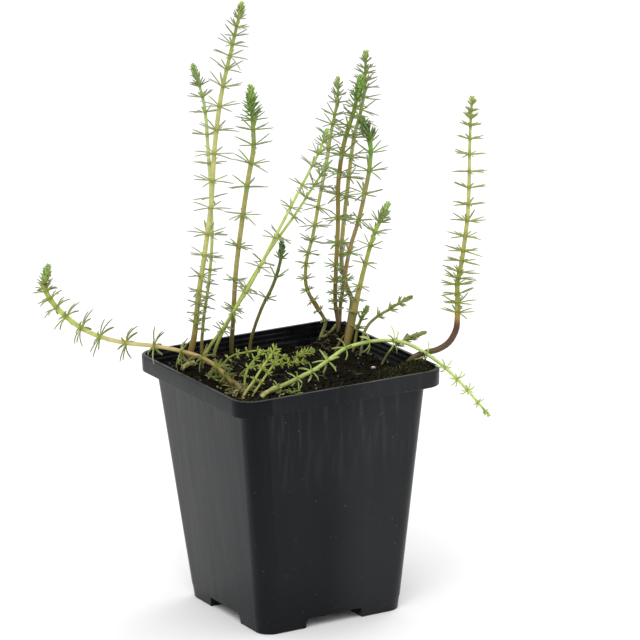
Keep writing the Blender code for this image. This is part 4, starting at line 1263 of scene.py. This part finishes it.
class Shaft:
    """A stem without its leaves, read by the distance from its tip."""

    def __init__(self, stem):
        foot = [Vector(point) * MM for point in stem.route]
        x, y = (min(max(place, -ROOT_HALF), ROOT_HALF) for place in foot[0].xy)
        self.stem = stem
        self.route = Route([Vector((x, y, foot[0].z - BURIED)), *foot])
        self.length = self.route.whole - BURIED
        self.nodes = [place * MM for place in stem.whorls]

    def near_node(self, from_tip, width):
        """One at a node, fading to nothing over a width."""
        near = min((abs(from_tip - node) for node in self.nodes), default=1.0)
        return math.exp(-(near / width) ** 2)

    def radius(self, from_tip):
        """The radius, swollen at the nodes and rounded off at the tip."""
        radius, _ = read_profile(self.stem, max(1 - from_tip / self.length, 0))
        round_off = math.sqrt(max(0.05, min(1.0, from_tip / (1.0 * MM))))
        return radius * round_off * (1 + NODE_SWELL * self.near_node(from_tip, NODE_LENGTH))

    def tint(self, from_tip):
        """The colour, with a blush between the nodes and olive at them."""
        _, skin = read_profile(self.stem, max(1 - from_tip / self.length, 0))
        between = 1 - self.near_node(from_tip, 4.5 * NODE_LENGTH)
        pink = self.stem.blush * between * min(1, from_tip / BLUSH_REACH)
        tint = blend(skin, BLUSH, pink * 0.5)
        return blend(tint, NODE_OLIVE, 0.7 * self.near_node(from_tip, 1.7 * NODE_LENGTH))

    def stations(self, rng):
        """Rings from the foot to the tip, closer together at the nodes."""
        whole = self.route.whole
        rings = set(np.arange(0, whole, RING_STEP)) | {whole}
        for node in self.nodes:
            rings |= {node + offset * NODE_LENGTH for offset in (-1.6, -0.8, 0, 0.8, 1.6)}
        stations = []
        for ring in sorted((float(r) for r in rings if 0 <= r <= whole), reverse=True):
            tint = self.tint(ring)
            flush = rng.uniform(0.92, 1.06)
            wobble = Vector((rng.uniform(-1, 1), rng.uniform(-1, 1), 0)) * WOBBLE * MM
            stations.append((self.route.point(ring) + wobble, self.route.tangent(ring), self.radius(ring),
                             tuple(part * flush for part in tint)))
        return stations


def grow_whorl(growth, shaft, rng, place, side):
    """The ring of bending leaves at a place on a stem."""
    stem = shaft.stem
    centre = shaft.route.point(place)
    ahead = shaft.route.tangent(place)
    across = ahead.cross(side)
    radius = shaft.radius(place) * ROOT_SHARE
    young = place not in shaft.nodes
    full = leaf_length(stem, place, shaft.length - place) * (YOUNG_LENGTH if young else 1)
    crown = max(0.0, 1 - place / CROWN)
    count = stem.leaves + rng.choice((-1, 0, 0, 1)) - round(2 * crown)
    start = rng.uniform(0, math.tau)
    tilt = rng.gauss(0, WHORL_TILT)
    hug = stem.hugging * math.exp(-place / HUG_FADE)
    for leaf in range(count):
        turn = start + math.tau * (leaf + rng.uniform(-TURN_SWING, TURN_SWING)) / count
        out = side * math.cos(turn) + across * math.sin(turn)
        rise = leaf_rise(place) + hug + tilt + rng.gauss(0, RISE_SWING - CROWN_CALM * crown)
        rise += YOUNG_RISE if young else 0
        recurve = stem.recurve * rng.uniform(0.5, 1.25) * min(1.0, place / BEND_REACH)
        recurve += rng.gauss(0, BEND_SWING)
        reach = full * rng.uniform(0.8, 1.04)
        tints = leaf_tints(stem, rng, place)
        root = centre + out * radius
        aim = math.radians(rise - recurve / 2)
        tip = root + (out * math.cos(aim) + ahead * math.sin(aim)) * reach
        while reach > SHORTEST_LEAF and not clear_of_pot(tip):
            reach *= SHORTEN
            tip = root.lerp(tip, SHORTEN)
        if reach <= SHORTEST_LEAF:
            continue
        width = stem.leaf_width * rng.uniform(0.85, 1.15) * (1 - 0.2 * crown)
        growth.leaf(root, out, ahead, reach, min(rise, STEEPEST_RISE), recurve, tints, width)


def grow_stem(stem, settings):
    """One stem with its swollen nodes, its whorls of leaves and its bud."""
    rng = random.Random(stem.name)
    shaft = Shaft(stem)
    growth = Growth(settings)
    growth.tube(shaft.stations(rng))
    side = shaft.route.tangent(0).orthogonal()
    for place in all_whorls(stem):
        ahead = shaft.route.tangent(place)
        side = (side - side.dot(ahead) * ahead).normalized()
        grow_whorl(growth, shaft, rng, place, side)
    return growth.done(f"{stem.name}_leafy", stem.slot, [stem.name])


# Bits of root and old stem on the soil: their places in millimetres, radius and colour
RUNNERS = (
    (((-34, 25.4, 94.5), (-31.5, 26.9, 95.6), (-29, 27.4, 95.8), (-27.1, 26.9, 96)), 0.9, (172, 166, 106)),
    (((33.6, 35.6, 94.6), (35.2, 34.2, 95.6), (37.2, 32.2, 98), (38.5, 31, 100.4)), 0.7, (128, 122, 70)),
    (((29.1, 15.9, 94), (33, 19.2, 96.2), (36.4, 22.4, 97.2), (37.9, 21.6, 99)), 0.5, (92, 76, 40)),
    (((40, 32.8, 97), (41.1, 31.4, 100), (41.4, 28.6, 101)), 0.9, (38, 28, 18)),
    (((-25, -23.4, 93.4), (-22.6, -23.6, 95.2), (-20.2, -23.4, 95.9), (-17.4, -22.8, 96.4)), 0.9,
     (176, 176, 108)),
    (((-26.4, -2.5, 94.6), (-27.3, -7, 95.2), (-28.6, -12, 95.2), (-30, -17.5, 94.2)), 1.0, (112, 102, 50)),
    (((-33.8, -16.8, 93.6), (-32, -15.2, 95), (-29.8, -14.6, 94.6)), 0.5, (150, 134, 92)),
    (((39.4, -38, 101), (40.3, -35.1, 103.4), (41.6, -31.6, 102.6)), 0.3, (62, 48, 28)),
    (((-22.4, -10.4, 93.6), (-19.4, -8, 95), (-15.2, -8.2, 94.6)), 0.4, (110, 94, 54)),
)
# Heaps of old and young leaves: x, y, spread, how many, longest leaf, and colour from and to
HEAPS = (
    (-27.5, -9, 2.2, 26, 3.6, (92, 82, 40), (156, 150, 74)),
    (-29.5, -14.5, 1.8, 18, 3.4, (104, 88, 46), (168, 160, 84)),
    (-26.8, 0, 1.8, 16, 3.6, (98, 86, 42), (160, 154, 78)),
    (-26.4, 7.5, 1.4, 12, 4.2, (140, 152, 70), (184, 188, 106)),
    (-33.2, -15.4, 1.2, 8, 3.0, (110, 92, 54), (176, 164, 110)),
    (-27.5, 12, 1.0, 6, 3.4, (180, 172, 120), (206, 196, 150)),
    (-19.6, 19.2, 2.4, 16, 4.0, (132, 140, 70), (160, 160, 84)),
    (-30, 28.5, 2.4, 16, 4.0, (150, 156, 84), (186, 178, 108)),
    (-12.6, -25.6, 1.6, 14, 4.4, (128, 144, 64), (176, 188, 98)),
    (-17, -22.8, 1.8, 16, 3.6, (146, 150, 84), (190, 192, 116)),
    (-28.8, -17, 1.6, 12, 3.2, (110, 104, 56), (160, 160, 84)),
    (6, -2, 9.0, 16, 3.0, (46, 38, 24), (84, 76, 42)),
    (30, 22, 6.0, 24, 3.6, (44, 34, 22), (92, 76, 44)),
    (-8, 30, 8.0, 18, 3.2, (44, 36, 24), (96, 86, 50)),
)


class MARESTAIL_OT_litter(bpy.types.Operator):
    """Lay bits of root, old leaves and fine root fibres on the soil"""

    bl_idname = "marestail.litter"
    bl_label = "Litter on the Soil"

    def execute(self, context):
        rng = random.Random(29)
        growth = Growth(context.scene.marestail_leaf)
        for points, radius, colour in RUNNERS:
            self.runner(growth, rng, points, radius * MM, colour)
        for x, y, width, count, longest, low, high in HEAPS:
            for _ in range(count):
                self.old_leaf(growth, rng, rng.gauss(x, width) * MM, rng.gauss(y, width) * MM,
                              longest * MM * rng.uniform(0.5, 1),
                              blend(paint(*low), paint(*high), rng.random()))
        settings = context.scene.marestail_soil
        for _ in range(settings.fibres):
            x, y = on_soil(rng, FIBRE_REACH)
            self.fibre(growth, rng, x, y, settings.grain, rng.choice(FIBRE_TONES))
        growth.done("soil_litter", "brown_stem")
        return {"FINISHED"}

    def runner(self, growth, rng, points, radius, colour):
        """A rough seven-sided bit of root or old stem."""
        route = Route([Vector(point) * MM for point in points])
        stations = []
        for place in np.arange(route.whole, 0, -0.6 * MM):
            flush = rng.uniform(0.75, 1.15)
            stations.append((route.point(place), route.tangent(place), radius * rng.uniform(0.8, 1.15),
                             tuple(part * flush for part in paint(*colour))))
        growth.tube(stations, 7)

    def old_leaf(self, growth, rng, x, y, length, colour):
        """A wilted leaf that stands loosely on the soil."""
        turn = rng.uniform(0, math.tau)
        out = Vector((math.cos(turn), math.sin(turn), 0))
        reach = INNER_HALF - length
        x = min(max(x, -reach), reach)
        y = min(max(y, -reach), reach)
        root = Vector((x, y, soil_height(x, y) + rng.uniform(0.1, 0.9) * MM))
        dull = tuple(part * weight for part, weight in zip(colour, WILTED))
        dark = tuple(part * 0.5 for part in dull)
        growth.leaf(root, out, Vector((0, 0, 1)), length, rng.uniform(5, 70), rng.uniform(10, 100),
                    (dark, dull, dull), rng.uniform(0.55, 1.0))

    def fibre(self, growth, rng, x, y, grain, colour):
        """A fine root that wanders over the soil in a low arch."""
        turn = rng.uniform(0, math.tau)
        stations = []
        step = rng.uniform(0.7, 1.3) * MM
        for number in range(FIBRE_JOINTS):
            ahead = Vector((math.cos(turn), math.sin(turn), 0))
            arch = FIBRE_ARCH * math.sin(math.pi * number / (FIBRE_JOINTS - 1))
            place = Vector((x, y, soil_surface(x, y, grain) + arch))
            stations.append((place, ahead, FIBRE_RADIUS, colour))
            x += ahead.x * step
            y += ahead.y * step
            turn += rng.uniform(-0.7, 0.7)
        growth.tube(stations, 4)


class MARESTAIL_OT_tall_stems(bpy.types.Operator):
    """Grow the upright stems on the left and in the right-hand clump"""

    bl_idname = "marestail.tall_stems"
    bl_label = "Tall Stems"

    def execute(self, context):
        for stem in TALL_STEMS:
            grow_stem(stem, context.scene.marestail_leaf)
        return {"FINISHED"}


class MARESTAIL_OT_leaning_stems(bpy.types.Operator):
    """Grow the pale, arching and trailing stems and the one beyond the right corner"""

    bl_idname = "marestail.leaning_stems"
    bl_label = "Leaning Stems"

    def execute(self, context):
        for stem in LEANING_STEMS:
            grow_stem(stem, context.scene.marestail_leaf)
        return {"FINISHED"}


class MARESTAIL_OT_shoots(bpy.types.Operator):
    """Grow the short shoots at the right and over the soil"""

    bl_idname = "marestail.shoots"
    bl_label = "Short Shoots"

    def execute(self, context):
        for stem in SHOOTS:
            grow_stem(stem, context.scene.marestail_leaf)
        return {"FINISHED"}


class MARESTAIL_OT_stage(bpy.types.Operator):
    """Set up the pale floor, the soft light and the camera"""

    bl_idname = "marestail.stage"
    bl_label = "Stage"

    def execute(self, context):
        settings = context.scene.marestail_studio
        self.add_floor(settings)
        self.add_light(context.scene, settings)
        self.add_camera(context.scene, settings)
        return {"FINISHED"}

    def add_floor(self, settings):
        """The pale floor."""
        bm = bmesh.new()
        bmesh.ops.create_grid(bm, x_segments=1, y_segments=1, size=4)
        floor = add_object("studio_floor", mesh_from("studio_floor", bm))
        material, _, shader = new_material("pale_floor", 0.9, specular=0.1)
        shader.inputs["Base Color"].default_value = (*settings.floor_colour, 1)
        floor.data.materials.append(material)

    def add_light(self, scene, settings):
        """Even light from all round, and two soft lamps."""
        world = bpy.data.worlds.new("soft_sky")
        world.use_nodes = True
        background = world.node_tree.nodes["Background"]
        background.inputs["Color"].default_value = (1, 1, 1, 1)
        background.inputs["Strength"].default_value = settings.sky
        scene.world = world
        scene.view_settings.view_transform = "Standard"
        for name, place, size, power in LAMPS:
            lamp = bpy.data.lights.new(name, "AREA")
            lamp.size = size
            lamp.energy = power
            item = add_object(name, lamp)
            item.location = place
            item.rotation_euler = (Vector(place) - LAMP_AIM).to_track_quat("Z", "Y").to_euler()

    def add_camera(self, scene, settings):
        """A long lens at the angle of the photograph."""
        turn, rise, roll = settings.azimuth, settings.elevation, settings.roll
        back = Vector((math.sin(turn) * math.cos(rise), -math.cos(turn) * math.cos(rise), math.sin(rise)))
        level = Vector((math.cos(turn), math.sin(turn), 0))
        up = back.cross(level)
        right = level * math.cos(roll) + up * math.sin(roll)
        top = up * math.cos(roll) - level * math.sin(roll)
        aim = level * settings.aim_right + Vector((0, 0, settings.aim_height))
        camera = bpy.data.cameras.new("camera")
        camera.sensor_width = 36
        camera.lens = settings.lens
        item = add_object("camera", camera)
        turned = Matrix((right, top, back)).transposed().to_4x4()
        item.matrix_world = Matrix.Translation(aim + back * settings.distance) @ turned
        scene.camera = item


class MARESTAIL_PT_sidebar(bpy.types.Panel):
    """Sidebar panel that builds the pot and the plant piece by piece"""

    bl_idname = "MARESTAIL_PT_sidebar"
    bl_label = "Potted Mare's Tail"
    bl_space_type = "VIEW_3D"
    bl_region_type = "UI"
    bl_category = "Mare's Tail"

    def draw(self, context):
        for operator in OPERATORS:
            self.layout.operator(operator.bl_idname)
        for name in SETTINGS:
            group = getattr(context.scene, name)
            box = self.layout.box()
            for key in group.__annotations__:
                box.prop(group, key)


SETTINGS = {
    "marestail_pot": PotSettings,
    "marestail_soil": SoilSettings,
    "marestail_leaf": LeafSettings,
    "marestail_studio": StudioSettings,
}
OPERATORS = (
    MARESTAIL_OT_stage,
    MARESTAIL_OT_pot,
    MARESTAIL_OT_soil,
    MARESTAIL_OT_crumbs,
    MARESTAIL_OT_moss,
    MARESTAIL_OT_litter,
    MARESTAIL_OT_tall_stems,
    MARESTAIL_OT_leaning_stems,
    MARESTAIL_OT_shoots,
)


def register():
    for item in (*SETTINGS.values(), *OPERATORS, MARESTAIL_PT_sidebar):
        bpy.utils.register_class(item)
    for name, group in SETTINGS.items():
        setattr(bpy.types.Scene, name, PointerProperty(type=group))


def unregister():
    for name in SETTINGS:
        delattr(bpy.types.Scene, name)
    for item in reversed((*SETTINGS.values(), *OPERATORS, MARESTAIL_PT_sidebar)):
        bpy.utils.unregister_class(item)


def main():
    register()
    for operator in OPERATORS:
        name = operator.bl_idname.split(".")[1]
        getattr(bpy.ops.marestail, name)()


if __name__ == "__main__":
    main()
